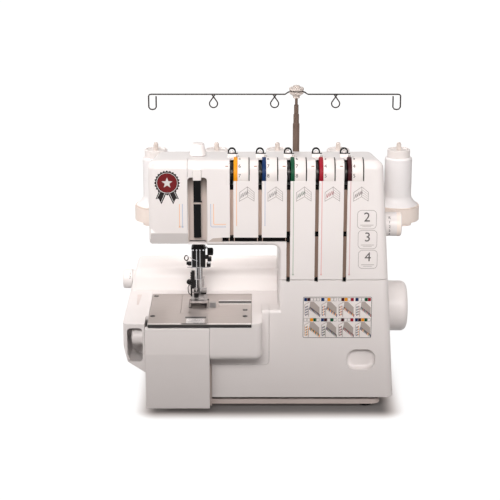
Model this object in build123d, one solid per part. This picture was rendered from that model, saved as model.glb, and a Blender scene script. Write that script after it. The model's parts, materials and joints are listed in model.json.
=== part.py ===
from build123d import *
import math
import os

# Overlock sewing machine. Millimetres, +Z up, +Y to the back, +X to the operator's right.
# The drawing datum is the front face of the covers (y = 0), the table (z = 0) and the right side of the
# needle plate (x = 0). The finished pieces are moved so that the origin is the bottom centre of the whole.

# Walls and fits
WALL = 2.5
GAP = 0.3
RUN = 0.05
SCREW_R = 3.0
PLATE_SCREW_ROW = 28.0
PLATE_SCREW_PITCH = 22.0

# Levels above the table
FOOT_HEIGHT = 6.0
BASE_THICK = 6.0
COVER_BOTTOM = 16.5
UNDER_BED = 57.0
BED_TOP = 115.0
HUMP_TOP = 140.5
SEAM_Z = 159.5
ARM_BOTTOM = 200.0
BODY_TOP = 299.0
TOP_FALL = 0.162

# Arm and column in plan
ARM_LEFT = -114.0
COLUMN_LEFT = 33.0
RIGHT_TOP = 148.5
RIGHT_BASE = 167.5
BODY_DEPTH = 160.0
UPPER_SPLIT = 40.0
LOWER_SPLIT = 24.0
EDGE_R = 10.0
NECK_R = 8.0
UNDER_R = 4.0

# Channel for the needle threads in the arm's front
FACE_SPLIT = -70.0
CHANNEL_RIGHT = -48.0
CHANNEL_TOP = 279.0
CHANNEL_DEPTH = 8.0
CHANNEL_RIB = 9.5
CHANNEL_CAP = 8.7
SLIT_LEFT = -31.5
SLIT_RIGHT = 45.0
SLIT_RISE = 4.5
SLIT_HEIGHT = 5.0
BEVEL_HEIGHT = 14.5
BEVEL_DEPTH = 8.0

# Tension units
SLOT_COUNT = 5
FIRST_SLOT = -20.6
SLOT_PITCH = 31.9
SLOT_WIDTH = 4.0
ARM_SLOTS = 2
DIAL_R = 17.4
DIAL_WIDTH = 17.6
DIAL_Y = 17.0
DIAL_DROP = 18.0
COLLAR_WIDTH = 4.5
TENSION_SHAFT_R = 3.0
DISC_R = 11.0
DISC_THICK = 0.8
EAR_THICK = 3.0
GUIDE_RISE = 7.5

# Base
TUB_LEFT = -107.0
BASE_FRONT = 6.0
BASE_INSET = 15.0
FOOT_R = 9.0
FOOT_INSET = 16.0

# Lower front cover and its hinge
NOTCH_X = 22.0
STRIP_LEFT = -44.0
HINGE_Y = 8.0
HINGE_Z = 24.0
HINGE_R = 2.5
KNUCKLE_R = 4.5
COVER_SLIDE = 6.0
KNUCKLE_WIDTH = 10.0
EAR_WIDTH = 6.0
FINGER_X = 128.0
FINGER_Z = 63.0
FINGER_WIDTH = 33.0
FINGER_HEIGHT = 25.0
FINGER_DEPTH = 8.0
FINGER_R = 11.0
SHELF_RISE = 8.0

# Bed
BED_LEFT = -144.0
BED_RIGHT = 13.5
BED_FRONT = -25.0
BED_REAR = 97.0
BED_UNDERSIDE = 70.0
BED_LEFT_STEP = 88.0
BED_EDGE_R = 8.0
BED_WING = 5.0
LEDGE = 4.0
LEDGE_THICK = 3.0
HUMP_LEAN = 6.6
HUMP_SLOPE = 6.6
HUMP_R = 14.0

# Cloth plates
PLATE_LEFT = -116.0
PLATE_RIGHT = 2.0
PLATE_REAR = 85.0
PLATE_THICK = 2.0
PLATE_SPLIT = -48.0
NEEDLE_PLATE_LEFT = -80.0
NEEDLE_PLATE_FRONT = 14.0
LIP = 3.5

# Waste flap
FLAP_LEFT = -119.0
FLAP_RIGHT = -46.0
FLAP_BOTTOM = 12.7
FLAP_CREASE = 79.0
FLAP_THICK = 2.2
FLAP_BULGE = 2.5
FLAP_HINGE_Y = -21.5
FLAP_HINGE_Z = 107.5
FLAP_KNUCKLE_R = 3.0
FLAP_PIN_R = 1.2

# Needle bar and presser bar
NEEDLE_X = -60.0
NEEDLE_Y = 50.0
PRESSER_Y = 66.0
BAR_R = 4.0
NEEDLE_R = 0.6
NEEDLE_PITCH = 5.0
NEEDLE_TIP = 127.5
CLAMP_BOTTOM = 160.5
CLAMP_HEIGHT = 28.0
CLAMP_HALF = 7.0
NEEDLE_BAR_TOP = 274.5
PRESSER_BAR_TOP = 262.0
HEAD_LEFT = -72.0
HEAD_RIGHT = -48.0
GUIDE_LOW = 206.0
GUIDE_THICK = 10.0
PRESSER_COLLAR_R = 8.0
PRESSER_COLLAR_Z = 223.3
PRESSER_COLLAR_H = 7.0
SPRING_R = 6.6
SPRING_WIRE = 1.0
SPRING_TURNS = 7
PRESSURE_STEM_R = 6.5
PRESSURE_STEM_Z = 266.0
PRESSURE_KNOB_R = 9.8
PRESSURE_KNOB_TOP = 304.0
LEVER_X = -42.0
LEVER_Z = 221.0
LEVER_R = 3.0
LEVER_LOBE = 13.0
LEVER_REACH = 54.0

# Foot, feed and knives
FOOT_SOLE = 2.4
FOOT_TOE = 15.0
FOOT_HALF = 9.6
ANKLE_HEIGHT = 26.0
FEED_WIDTH = 22.0
FEED_ROW = 3.0
FEED_TRAVEL = 3.0
FEED_LENGTH = 26.0
FEED_LEAD = 14.0
FEED_DROP = 9.0
KNIFE_LEFT = -47.0
KNIFE_WIDTH = 7.0
KNIFE_Y = 34.0
KNIFE_DEPTH = 10.0
KNIFE_GUIDE_DROP = 12.0
KNIFE_SHANK = 22.0
KNIFE_RISE = 4.0
LOOPER_R = 3.0
LOOPER_Z = 46.0
LOOPER_TIP_Z = 100.0
UPPER_LOOPER_X = -90.0
UPPER_LOOPER_Y = 30.0
UPPER_LOOPER_TIP = -70.0
LOWER_LOOPER_X = -20.0
LOWER_LOOPER_Y = 50.0
LOWER_LOOPER_TIP = -50.0

# Drive
SHAFT_Y = 110.0
SHAFT_Z = 92.0
SHAFT_R = 6.0
BUSH_R = 9.0
WHEEL_R = 30.5
WHEEL_WIDTH = 25.0
PULLEY_R = 28.0
PULLEY_X = 86.0
PULLEY_WIDTH = 12.0
PULLEY_FLANGE = 2.0
BELT_THICK = 2.5
BELT_WIDTH = 8.0
MOTOR_Y = 100.0
MOTOR_Z = 205.0
MOTOR_R = 30.0
MOTOR_PULLEY_R = 9.0
MOTOR_SHAFT_R = 4.0

# Machine frame
FRAME_WALL = 8.0
FRAME_LEFT = -104.0
FRAME_RIGHT = 150.0
FRAME_FRONT = 20.0
STANDARD_LEFT = 42.0
STANDARD_RIGHT = 118.0
BEAM_Y = 84.0
BEAM_DEPTH = 32.0
BEAM_Z = 258.0
BEAM_HEIGHT = 16.0

# Side dials
STITCH_DIAL_Y = 70.0
STITCH_DIAL_Z = 206.0
STITCH_DIAL_R = 14.0
STITCH_DIAL_END = 177.0
DIFF_DIAL_Y = 140.0
DIFF_DIAL_Z = 117.0
DIFF_DIAL_R = 12.0
DIFF_DIAL_END = -156.0
WIDTH_DIAL_Y = -12.0
WIDTH_DIAL_Z = 96.0
WIDTH_DIAL_R = 9.5
WIDTH_DIAL_LENGTH = 12.5
DIAL_STEM_R = 4.0

# Power inlet and switch
INLET_Y = 100.0
INLET_WIDTH = 48.0
INLET_Z = 26.0
INLET_HEIGHT = 26.0
INLET_DEPTH = 17.0
INLET_PROUD = 1.8
SOCKET_WIDTH = 20.0
SOCKET_DEPTH = 13.0
ROCKER_WIDTH = 13.2
ROCKER_HALF = 8.2
ROCKER_PIN_R = 1.5
ROCKER_TILT = 8.0

# Spool stand, spools and mast
STAND_Z = 168.0
STAND_THICK = 8.0
STAND_LEFT = -135.0
STAND_FRONT = 196.0
STAND_DEPTH = 46.0
STAND_BRACKET_LEFT = 45.0
STAND_BRACKET_RIGHT = 136.0
STAND_BRACKET_DROP = 38.0
FIRST_PIN = -118.2
PIN_PITCH = 76.3
PIN_Y = 220.0
PIN_R = 3.0
PIN_TOP = 271.0
SEAT_R = 27.8
SEAT_THICK = 14.0
SPOOL_R = 17.2
SPOOL_BASE_R = 27.0
SPOOL_TOP_R = 14.5
SPOOL_HEIGHT = 72.0
SPOOL_BORE_R = 3.3
MAST_TURN = 43.7
MAST_CLEARANCE = 2.0
MAST_BOSS_R = 8.0
MAST_BOSS_H = 14.0
MAST_R = 4.3
MAST_WALL = 0.65
MAST_TOP = 290.0
MAST_STEP = 12.0
MAST_TRAVEL = 95.0
HUB_RISE = 11.0
HUB_R = 9.0
HUB_HEIGHT = 14.0
WIRE_R = 1.0
WIRE_RISE = 2.5
WIRE_LEFT = -128.0
WIRE_RIGHT = 190.0
EYE_WIDTH = 9.5
EYE_HEIGHT = 19.0

# Lamp in the arm's underside
LAMP_LEFT = -20.0
LAMP_WIDTH = 34.0
LAMP_Y = 12.0
LAMP_DEPTH = 20.0
LAMP_THICK = 3.5

# Levels and places that follow from the sizes above
BASE_TOP = FOOT_HEIGHT + BASE_THICK
STAND_TOP = STAND_Z + STAND_THICK
SEAT_TOP = STAND_TOP + SEAT_THICK
PLATE_Z = BED_TOP - PLATE_THICK
SLOT_XS = [FIRST_SLOT + SLOT_PITCH * i for i in range(SLOT_COUNT)]
PIN_XS = [FIRST_PIN + PIN_PITCH * i for i in range(SLOT_COUNT)]
MAST_REACH = SPOOL_BASE_R + MAST_CLEARANCE + MAST_R
MAST_X = PIN_XS[SLOT_COUNT // 2] + MAST_REACH * math.cos(math.radians(MAST_TURN))
MAST_Y = PIN_Y + MAST_REACH * math.sin(math.radians(MAST_TURN))
SLIT_Z = ARM_BOTTOM + SLIT_RISE
KNIFE_RIGHT = KNIFE_LEFT + KNIFE_WIDTH
KNIFE_BACK = KNIFE_RIGHT + KNIFE_WIDTH / 2
NEEDLE_LINE = NEEDLE_Y - BAR_R / 2
FEED_FRONT = NEEDLE_Y - FEED_LEAD
FEED_Z = PLATE_Z - FEED_DROP
KNIFE_GUIDE_TOP = BED_TOP - KNIFE_GUIDE_DROP
ANKLE_TOP = BED_TOP + ANKLE_HEIGHT
SHELF_TOP = BED_TOP + SHELF_RISE
DIAL_Z = BODY_TOP - DIAL_DROP
HUB_Z = MAST_TOP + 2 * MAST_STEP + HUB_RISE
WIRE_Z = HUB_Z + WIRE_RISE
WIDTH_DIAL_END = FLAP_LEFT - GAP - WALL - GAP - WIDTH_DIAL_LENGTH
FAR = 500.0


def block(x0, x1, y0, y1, z0, z1):
    """Box between two opposite corners."""
    centre = Pos((x0 + x1) / 2, (y0 + y1) / 2, (z0 + z1) / 2)
    return centre * Box(x1 - x0, y1 - y0, z1 - z0)


def rod(start, end, radius):
    """Round bar between two points."""
    axis = Vector(*end) - Vector(*start)
    seat = Plane(origin=start, z_dir=axis)
    return seat * Cylinder(radius, axis.length, align=(Align.CENTER, Align.CENTER, Align.MIN))


def rod_x(x0, x1, y, z, radius):
    """Round bar along X."""
    return rod((x0, y, z), (x1, y, z), radius)


def rod_y(x, y0, y1, z, radius):
    """Round bar along Y."""
    return rod((x, y0, z), (x, y1, z), radius)


def rod_z(x, y, z0, z1, radius):
    """Round bar along Z."""
    return rod((x, y, z0), (x, y, z1), radius)


def prism_x(points, x0, x1):
    """Outline of (y, z) points carried along X."""
    face = make_face(Polyline(*points, close=True))
    return extrude(Plane.YZ.offset(x0) * face, amount=x1 - x0, dir=(1, 0, 0))


def prism_y(points, y0, y1):
    """Outline of (x, z) points carried along Y."""
    face = make_face(Polyline(*points, close=True))
    return extrude(Plane.XZ.offset(-y0) * face, amount=y1 - y0, dir=(0, 1, 0))


def prism_z(points, z0, z1):
    """Outline of (x, y) points carried along Z."""
    face = make_face(Polyline(*points, close=True))
    return extrude(Plane.XY.offset(z0) * face, amount=z1 - z0, dir=(0, 0, 1))


def turned_z(points, x, y):
    """Solid of revolution about an upright axis, from (radius, z) points."""
    face = make_face(Polyline(*points, close=True))
    return Pos(x, y, 0) * revolve(Plane.XZ * face, axis=Axis.Z)


def turned_x(points, y, z):
    """Solid of revolution about an axis along X, from (x, radius) points."""
    face = make_face(Polyline(*points, close=True))
    return Pos(0, y, z) * revolve(Plane.XZ * face, axis=Axis.X)


def edges_where(part, test):
    """Edges whose middle point passes a test."""
    return [edge for edge in part.edges() if test(edge.center())]


def near(value, target):
    """True within half a millimetre."""
    return abs(value - target) < 0.5


def top_at(y):
    """Height of the sloping top at a depth."""
    return BODY_TOP - TOP_FALL * y


def right_at(z):
    """Drafted right side of the column at a height."""
    return RIGHT_BASE - (RIGHT_BASE - RIGHT_TOP) * z / BODY_TOP


def right_waste(inset):
    """Everything to the right of the drafted side."""
    outline = [(right_at(0) - inset, 0), (FAR, 0), (FAR, FAR), (right_at(FAR) - inset, FAR)]
    return prism_y(outline, -FAR, FAR)


def body_form(inset):
    """Arm and column as one rounded block; an inset gives the space inside the wall."""
    low = BASE_TOP - 2 * inset
    front = inset
    back = BODY_DEPTH - inset
    left = ARM_LEFT + inset
    under = ARM_BOTTOM + inset
    neck = COLUMN_LEFT + inset
    side = [(front, low), (front, top_at(front) - inset), (back, top_at(back) - inset), (back, low)]
    form = prism_x(side, left, RIGHT_BASE) - right_waste(inset)
    form -= block(left - WALL, neck, -FAR, FAR, 0, under)
    form = fillet(edges_where(form, lambda c: near(c.X, neck) and near(c.Z, under)), NECK_R + inset)
    arm_middle = ARM_BOTTOM + EDGE_R * 2
    outer = edges_where(form, lambda c: c.Z > arm_middle or (c.X > RIGHT_TOP - EDGE_R and c.Z > low + EDGE_R))
    return fillet(outer, EDGE_R - inset)


def body_shell():
    """Hollow arm and column with every opening, before it is parted into covers."""
    outer = body_form(0)
    lip = edges_where(outer, lambda c: near(c.Y, 0) and near(c.Z, ARM_BOTTOM))
    shell = fillet(lip, UNDER_R) - body_form(WALL)
    wall_in = WALL * 2
    shell = face_bevel(shell)
    for index, x in enumerate(SLOT_XS):
        foot = SLIT_Z if index < ARM_SLOTS else SEAM_Z - WALL
        rear = DIAL_Y + DIAL_R + WALL / 2
        shell -= block(x - SLOT_WIDTH / 2, x + SLOT_WIDTH / 2, -wall_in, rear, foot, BODY_TOP + wall_in)
        dial_right = x + SLOT_WIDTH / 2 + DIAL_WIDTH + 2 * GAP
        shell -= block(x, dial_right, -wall_in, rear, DIAL_Z - 2 * WALL, BODY_TOP + wall_in)
        shell -= rod_x(x, dial_right, DIAL_Y, DIAL_Z, DIAL_R + 2 * GAP)
    shell -= block(SLIT_LEFT, SLIT_RIGHT, -wall_in, wall_in, SLIT_Z, SLIT_Z + SLIT_HEIGHT)
    shell -= block(FACE_SPLIT, CHANNEL_RIGHT, -wall_in, wall_in, ARM_BOTTOM - WALL, CHANNEL_TOP)
    head_front = NEEDLE_Y - 2 * UNDER_R * WALL
    shell -= block(HEAD_LEFT - UNDER_R, HEAD_RIGHT + UNDER_R, head_front, BEAM_Y + UNDER_R,
                   ARM_BOTTOM - WALL, ARM_BOTTOM + UNDER_R)
    shell -= block(LAMP_LEFT, LAMP_LEFT + LAMP_WIDTH, LAMP_Y, LAMP_Y + LAMP_DEPTH,
                   ARM_BOTTOM - WALL, ARM_BOTTOM + UNDER_R)
    shell -= rod_z(NEEDLE_X, PRESSER_Y, ARM_BOTTOM + EDGE_R, FAR, PRESSURE_STEM_R + GAP)
    shell -= rod_y(LEVER_X, BODY_DEPTH - wall_in, FAR, LEVER_Z, LEVER_R + RUN)
    shell -= rod_x(COLUMN_LEFT - WALL, FAR, SHAFT_Y, SHAFT_Z, BUSH_R)
    shell -= rod_x(STANDARD_RIGHT, FAR, STITCH_DIAL_Y, STITCH_DIAL_Z, DIAL_STEM_R + RUN)
    shell -= block(STANDARD_RIGHT, FAR, INLET_Y, INLET_Y + INLET_WIDTH, INLET_Z, INLET_Z + INLET_HEIGHT)
    return shell


def face_bevel(shell):
    """Sloped lower edge across the front of the face cover, with a wall behind it."""
    top = ARM_BOTTOM + BEVEL_HEIGHT
    steep = BEVEL_HEIGHT / BEVEL_DEPTH
    back = 2 * WALL
    wall = [(0, top), (BEVEL_DEPTH, ARM_BOTTOM), (BEVEL_DEPTH + back, ARM_BOTTOM), (WALL, top + back)]
    shell += prism_x(wall, ARM_LEFT + WALL, FACE_SPLIT)
    waste = [(-back, top + steep * back), (BEVEL_DEPTH, ARM_BOTTOM), (BEVEL_DEPTH, ARM_BOTTOM - back),
             (-back, ARM_BOTTOM - back)]
    return shell - prism_x(waste, ARM_LEFT - WALL, FACE_SPLIT)


def upper_front_cover(shell):
    """Front of the arm and column above the seam, with the thread slots."""
    return shell & block(FACE_SPLIT + GAP, FAR, -FAR, UPPER_SPLIT, SEAM_Z + GAP, FAR)


def face_cover(shell):
    """Left front end of the arm."""
    return shell & block(-FAR, FACE_SPLIT, -FAR, UPPER_SPLIT, SEAM_Z, FAR)


def rear_cover(shell):
    """Back of the arm and column, down to the base."""
    upper = shell & block(-FAR, FAR, UPPER_SPLIT + GAP, FAR, SEAM_Z + GAP, FAR)
    lower = shell & block(-FAR, FAR, LOWER_SPLIT + GAP, FAR, 0, SEAM_Z + GAP)
    lower -= block(COLUMN_LEFT - WALL, COLUMN_LEFT + 2 * WALL, 0, BODY_DEPTH - WALL, 0, UNDER_BED)
    return upper + lower


def front_cover(shell):
    """Hinged looper cover with its low strip, shelf, finger recess and hinge knuckles."""
    cover = shell & block(-FAR, FAR, -FAR, LOWER_SPLIT, COVER_BOTTOM, SEAM_Z)
    cover -= block(COLUMN_LEFT - WALL, COLUMN_LEFT + 2 * WALL, WALL, FAR, 0, BED_TOP - WALL)
    plate = [(STRIP_LEFT, COVER_BOTTOM), (COLUMN_LEFT + UNDER_R + WALL, COVER_BOTTOM),
             (COLUMN_LEFT + UNDER_R + WALL, BED_TOP), (NOTCH_X, BED_TOP),
             (NOTCH_X, UNDER_BED), (STRIP_LEFT, UNDER_BED)]
    strip = prism_y(plate, 0, WALL)
    corner = edges_where(strip, lambda c: near(c.X, NOTCH_X) and near(c.Z, UNDER_BED))
    cover += fillet(corner, UNDER_R)
    cover += shelf(NOTCH_X, COLUMN_LEFT + WALL)
    cover += finger_dish(WALL)
    cover -= finger_dish(0)
    for x in knuckle_places():
        cover += rod_x(x, x + KNUCKLE_WIDTH, HINGE_Y, HINGE_Z, KNUCKLE_R)
        cover += block(x, x + KNUCKLE_WIDTH, WALL / 2, HINGE_Y, HINGE_Z - KNUCKLE_R, HINGE_Z + KNUCKLE_R)
    cover -= rod_x(-FAR, FAR, HINGE_Y, HINGE_Z, HINGE_R + RUN)
    heel = block(-FAR, FAR, HINGE_Y, FAR, 0, HINGE_Z)
    cover -= heel - rod_x(-FAR, FAR, HINGE_Y, HINGE_Z, LOWER_SPLIT - HINGE_Y)
    return cover & rod_x(-FAR, FAR, HINGE_Y, HINGE_Z, SEAM_Z - GAP - HINGE_Z)


def shelf(left, right):
    """Raised shelf between the bed and the covers' front, with a rounded front edge."""
    step = block(left, right, 0, LOWER_SPLIT, BED_TOP - WALL, SHELF_TOP)
    brow = edges_where(step, lambda c: near(c.Z, SHELF_TOP) and near(c.Y, 0))
    return fillet(brow, UNDER_R)


def finger_dish(grow):
    """Rounded recess for a fingertip; growing it gives the wall around it."""
    outline = RectangleRounded(FINGER_WIDTH + 2 * grow, FINGER_HEIGHT + 2 * grow, FINGER_R + grow)
    depth = FINGER_DEPTH + grow
    dish = Pos(FINGER_X, 0, FINGER_Z) * extrude(Plane.XZ * outline, amount=depth, dir=(0, 1, 0))
    return fillet(edges_where(dish, lambda c: near(c.Y, depth)), FINGER_DEPTH / 2 + grow)


def ear_places():
    """Left edges of the base's ears along the hinge rod."""
    last = base_right() - EAR_WIDTH
    first = STRIP_LEFT + EAR_WIDTH
    return [first, (first + last) / 2, last]


def knuckle_places():
    """Left edges of the cover's knuckles, each clear of its ear over the cover's slide."""
    first, middle, last = ear_places()
    room = KNUCKLE_WIDTH + COVER_SLIDE + 4 * GAP
    return [first + EAR_WIDTH + GAP, middle - room, last - room]


def cover_hinge_rod():
    """Steel rod that the looper cover swings on and slides along with."""
    return rod_x(ear_places()[0] - GAP, ear_places()[2] + EAR_WIDTH, HINGE_Y, HINGE_Z, HINGE_R)


def base_right():
    """Right side of the base, inset under the column."""
    return right_at(BASE_TOP) - BASE_INSET


def base_tub():
    """Base with the low walls under the bed and the ears of the cover's hinge."""
    rear = BODY_DEPTH
    tub = block(STRIP_LEFT - GAP, base_right(), BASE_FRONT, rear, FOOT_HEIGHT, BASE_TOP)
    middle = FOOT_HEIGHT + BASE_THICK / 2
    corners = edges_where(tub, lambda c: near(c.X, base_right()) and near(c.Z, middle))
    tub = fillet(corners, EDGE_R)
    tub += block(TUB_LEFT, STRIP_LEFT - GAP, 0, rear, FOOT_HEIGHT, BASE_TOP)
    walls = block(TUB_LEFT, COLUMN_LEFT - GAP, 0, rear, BASE_TOP, UNDER_BED)
    walls -= block(TUB_LEFT + WALL, FAR, WALL, rear - WALL, BASE_TOP, UNDER_BED)
    walls -= block(STRIP_LEFT - GAP, FAR, -WALL, rear - WALL, BASE_TOP, UNDER_BED)
    tub += walls
    post = HINGE_Y + (KNUCKLE_R + HINGE_R) * 2
    for x in ear_places():
        tub += rod_x(x, x + EAR_WIDTH, HINGE_Y, HINGE_Z, KNUCKLE_R)
        tub += block(x, x + EAR_WIDTH, HINGE_Y, post, HINGE_Z - KNUCKLE_R, HINGE_Z + KNUCKLE_R)
        tub += block(x, x + EAR_WIDTH, post - EAR_WIDTH / 2, post, BASE_TOP, HINGE_Z)
    return tub - rod_x(-FAR, FAR, HINGE_Y, HINGE_Z, HINGE_R + RUN)


def foot_places():
    """Centres of the four feet."""
    left = TUB_LEFT + FOOT_INSET
    right = base_right() - FOOT_INSET
    front = BASE_FRONT + FOOT_INSET
    rear = BODY_DEPTH - FOOT_INSET
    return [(x, y) for x in (left, right) for y in (front, rear)]


def rubber_feet():
    """Four feet under the base."""
    taper = FOOT_HEIGHT / 4
    outline = [(0, 0), (FOOT_R - taper, 0), (FOOT_R, FOOT_HEIGHT), (0, FOOT_HEIGHT)]
    return Part() + [turned_z(outline, x, y) for x, y in foot_places()]


def bed_nose(inset):
    """Proud front block of the bed to the right of the flap."""
    nose = block(FLAP_RIGHT + GAP + inset, BED_RIGHT - inset, BED_FRONT + inset, WALL,
                 BED_UNDERSIDE + inset, BED_TOP)
    right = BED_RIGHT - inset
    front = BED_FRONT + inset
    low = BED_UNDERSIDE + inset
    corner = edges_where(nose, lambda c: near(c.X, right) and near(c.Y, front))
    sill = edges_where(nose, lambda c: near(c.Z, low) and (near(c.X, right) or near(c.Y, front)))
    return fillet(corner + sill, BED_EDGE_R - inset)


def bed_wing(inset):
    """Left end of the bed, with its sloping underside."""
    left = BED_LEFT + inset
    right = FLAP_LEFT - GAP - inset
    low = UNDER_BED + inset
    chin = BED_UNDERSIDE - inset / 2
    outline = [(left, BED_TOP - inset), (left, BED_LEFT_STEP), (left + BED_WING, chin), (right, low),
               (right, BED_TOP - inset)]
    wing = prism_y(outline, BED_FRONT + inset, BED_REAR + 2 * inset)
    corner = edges_where(wing, lambda c: near(c.X, left) and near(c.Y, BED_FRONT + inset))
    return fillet(corner, BED_EDGE_R - inset)


def bed_cover():
    """White surround of the cloth plates: left wing with the dial's window, right nose and rims."""
    opening_left = PLATE_LEFT - GAP
    opening_right = PLATE_RIGHT + GAP
    opening_rear = PLATE_REAR + GAP
    ledge_z = PLATE_Z - LEDGE_THICK
    rim = COLUMN_LEFT - GAP
    wing = bed_wing(0) - bed_wing(WALL)
    back_wall = bed_wing(0) & block(-FAR, FAR, LOWER_SPLIT - WALL, LOWER_SPLIT, 0, BED_TOP - WALL)
    inner_wall = block(FLAP_LEFT - GAP - 2 * WALL, FAR, LOWER_SPLIT, FAR, 0, BED_TOP - WALL)
    cover = wing - inner_wall + back_wall
    cover += bed_nose(0) - bed_nose(WALL)
    cover += bed_nose(0) & block(PLATE_RIGHT, FAR, -FAR, FAR, BED_TOP - WALL, FAR)
    panel = block(FLAP_RIGHT + GAP, NOTCH_X - GAP, 0, WALL, UNDER_BED + GAP, BED_TOP)
    corner = edges_where(panel, lambda c: near(c.X, NOTCH_X - GAP) and near(c.Z, UNDER_BED + GAP))
    cover += fillet(corner, UNDER_R - GAP)
    deck = block(BED_LEFT + BED_EDGE_R, BED_RIGHT, 0, BED_REAR, BED_TOP - WALL, BED_TOP)
    deck += block(PLATE_RIGHT, NOTCH_X - GAP, 0, BED_REAR, BED_TOP - WALL, BED_TOP)
    deck += block(PLATE_RIGHT, rim, LOWER_SPLIT + GAP, BED_REAR, BED_TOP - WALL, BED_TOP)
    deck += block(opening_left - LEDGE, opening_right + LEDGE, 0, opening_rear + LEDGE, ledge_z, BED_TOP)
    cover += deck + shelf(BED_RIGHT, NOTCH_X - GAP)
    cover -= block(opening_left, opening_right, -FAR, opening_rear, PLATE_Z, FAR)
    cover -= block(opening_left + LEDGE, opening_right - LEDGE, WALL, opening_rear - LEDGE,
                   ledge_z - WALL, FAR)
    lip_low = BED_TOP - LIP
    cover -= block(FLAP_LEFT - GAP, opening_right, -FAR, BED_FRONT + PLATE_THICK + GAP, lip_low - GAP, FAR)
    cover -= block(FLAP_LEFT - GAP, FLAP_RIGHT + GAP, -FAR, WALL, 0, FAR)
    window_left = BED_LEFT + 2 * WALL
    window_right = FLAP_LEFT - GAP - WALL
    window = block(window_left, window_right, -FAR, BED_FRONT + 2 * WALL, BED_UNDERSIDE, BED_TOP - 2 * WALL)
    cover -= fillet(window.edges().filter_by(Axis.Y), UNDER_R)
    cover -= rod_x(WIDTH_DIAL_END, FLAP_LEFT, WIDTH_DIAL_Y, WIDTH_DIAL_Z, DIAL_STEM_R + RUN)
    pin_room = FLAP_PIN_R + RUN
    return cover - rod_x(FLAP_LEFT - 2 * WALL, FLAP_RIGHT + 2 * WALL, FLAP_HINGE_Y, FLAP_HINGE_Z, pin_room)


def hump_form(inset):
    """Rounded rear bed behind the plates; an inset gives the space inside the wall."""
    front = BED_REAR + GAP + inset
    back = BODY_DEPTH - inset
    high = HUMP_TOP - inset
    low = UNDER_BED + inset
    side = [(front, low), (front, BED_TOP), (front + HUMP_SLOPE, high), (back, high), (back, low)]
    form = prism_x(side, BED_LEFT + inset, COLUMN_LEFT - GAP - inset)
    left = BED_LEFT + inset
    leaned = left + HUMP_LEAN * FAR / (HUMP_TOP - BED_TOP)
    lean = [(left, BED_TOP), (leaned, BED_TOP + FAR), (left - FAR, BED_TOP + FAR), (left - FAR, BED_TOP)]
    form -= prism_y(lean, -FAR, FAR)
    brow = edges_where(form, lambda c: near(c.Z, high) and c.Y < front + HUMP_R)
    form = fillet(brow, HUMP_R - inset)
    crown = edges_where(form, lambda c: c.Z > BED_TOP + WALL and c.X < BED_LEFT + 2 * HUMP_LEAN)
    return fillet(crown, UNDER_R + WALL - inset)


def rear_bed_cover():
    """White cover behind the cloth plates, over the main shaft."""
    cover = hump_form(0) - hump_form(WALL)
    open_front = BED_REAR + GAP + 2 * WALL
    cover -= block(BED_LEFT + WALL, COLUMN_LEFT, 0, open_front, UNDER_BED + WALL, PLATE_Z - LEDGE_THICK)
    cover -= block(TUB_LEFT + WALL, COLUMN_LEFT, 0, BODY_DEPTH - WALL, 0, UNDER_BED + 2 * WALL)
    wall_y = BED_REAR + GAP + WALL
    rise = HUMP_TOP - HUMP_R
    slant = wall_y + HUMP_SLOPE * (rise - BED_TOP) / (HUMP_TOP - BED_TOP)
    end = [(wall_y, 0), (wall_y, BED_TOP), (slant, rise), (BODY_DEPTH - WALL, rise), (BODY_DEPTH - WALL, 0)]
    cover -= prism_x(end, COLUMN_LEFT - GAP - 2 * WALL, COLUMN_LEFT)
    return cover - rod_x(-FAR, FRAME_LEFT, DIFF_DIAL_Y, DIFF_DIAL_Z, DIAL_STEM_R + RUN)


def needle_plate_outline(grow):
    """Plan of the right plate, with its tongue under the foot."""
    left = NEEDLE_PLATE_LEFT - grow
    split = PLATE_SPLIT - grow
    front = NEEDLE_PLATE_FRONT - grow
    return [(split, BED_FRONT), (PLATE_RIGHT, BED_FRONT), (PLATE_RIGHT, PLATE_REAR), (left, PLATE_REAR),
            (left, front), (split, front)]


def plate_screw_places():
    """Screw centres in the two plates."""
    inset = 1.5 * SCREW_R
    left = PLATE_LEFT + inset
    right = PLATE_RIGHT - 1.7 * inset
    near_row = BED_FRONT + PLATE_SCREW_ROW
    return [(left, PLATE_REAR - 2 * inset), (left, near_row), (right, near_row),
            (right, near_row + PLATE_SCREW_PITCH)]


def plate_holes():
    """Screw holes of the plates."""
    return Part() + [rod_z(x, y, 0, FAR, SCREW_R) for x, y in plate_screw_places()]


def cloth_plate():
    """Left steel plate with a front lip."""
    plate = block(PLATE_LEFT, PLATE_RIGHT, BED_FRONT, PLATE_REAR, PLATE_Z, BED_TOP)
    plate += block(PLATE_LEFT, PLATE_SPLIT, BED_FRONT, BED_FRONT + PLATE_THICK, BED_TOP - LIP, BED_TOP)
    plate -= prism_z(needle_plate_outline(GAP), 0, FAR)
    return plate - plate_holes()


def feed_rows():
    """Left edges of the two feed dog rows."""
    return [NEEDLE_X - FEED_WIDTH / 2, NEEDLE_X + FEED_WIDTH / 2 - FEED_ROW]


def needle_plate():
    """Right steel plate with openings for the needles, feed rows and knives."""
    plate = prism_z(needle_plate_outline(0), PLATE_Z, BED_TOP)
    plate += block(PLATE_SPLIT, PLATE_RIGHT, BED_FRONT, BED_FRONT + PLATE_THICK, BED_TOP - LIP, BED_TOP)
    slot = NEEDLE_PITCH + 2 * NEEDLE_R
    plate -= block(NEEDLE_X - slot, NEEDLE_X + slot, NEEDLE_LINE - slot / 2, NEEDLE_LINE + slot / 2, 0, FAR)
    for x in feed_rows():
        plate -= block(x - 2 * GAP, x + FEED_ROW + 2 * GAP, FEED_FRONT - FEED_TRAVEL - GAP,
                       FEED_FRONT + FEED_LENGTH + FEED_TRAVEL + GAP, 0, FAR)
    plate -= block(KNIFE_LEFT - GAP, KNIFE_BACK + GAP, KNIFE_Y - GAP, KNIFE_Y + KNIFE_DEPTH + GAP, 0, FAR)
    return plate - plate_holes()


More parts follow.
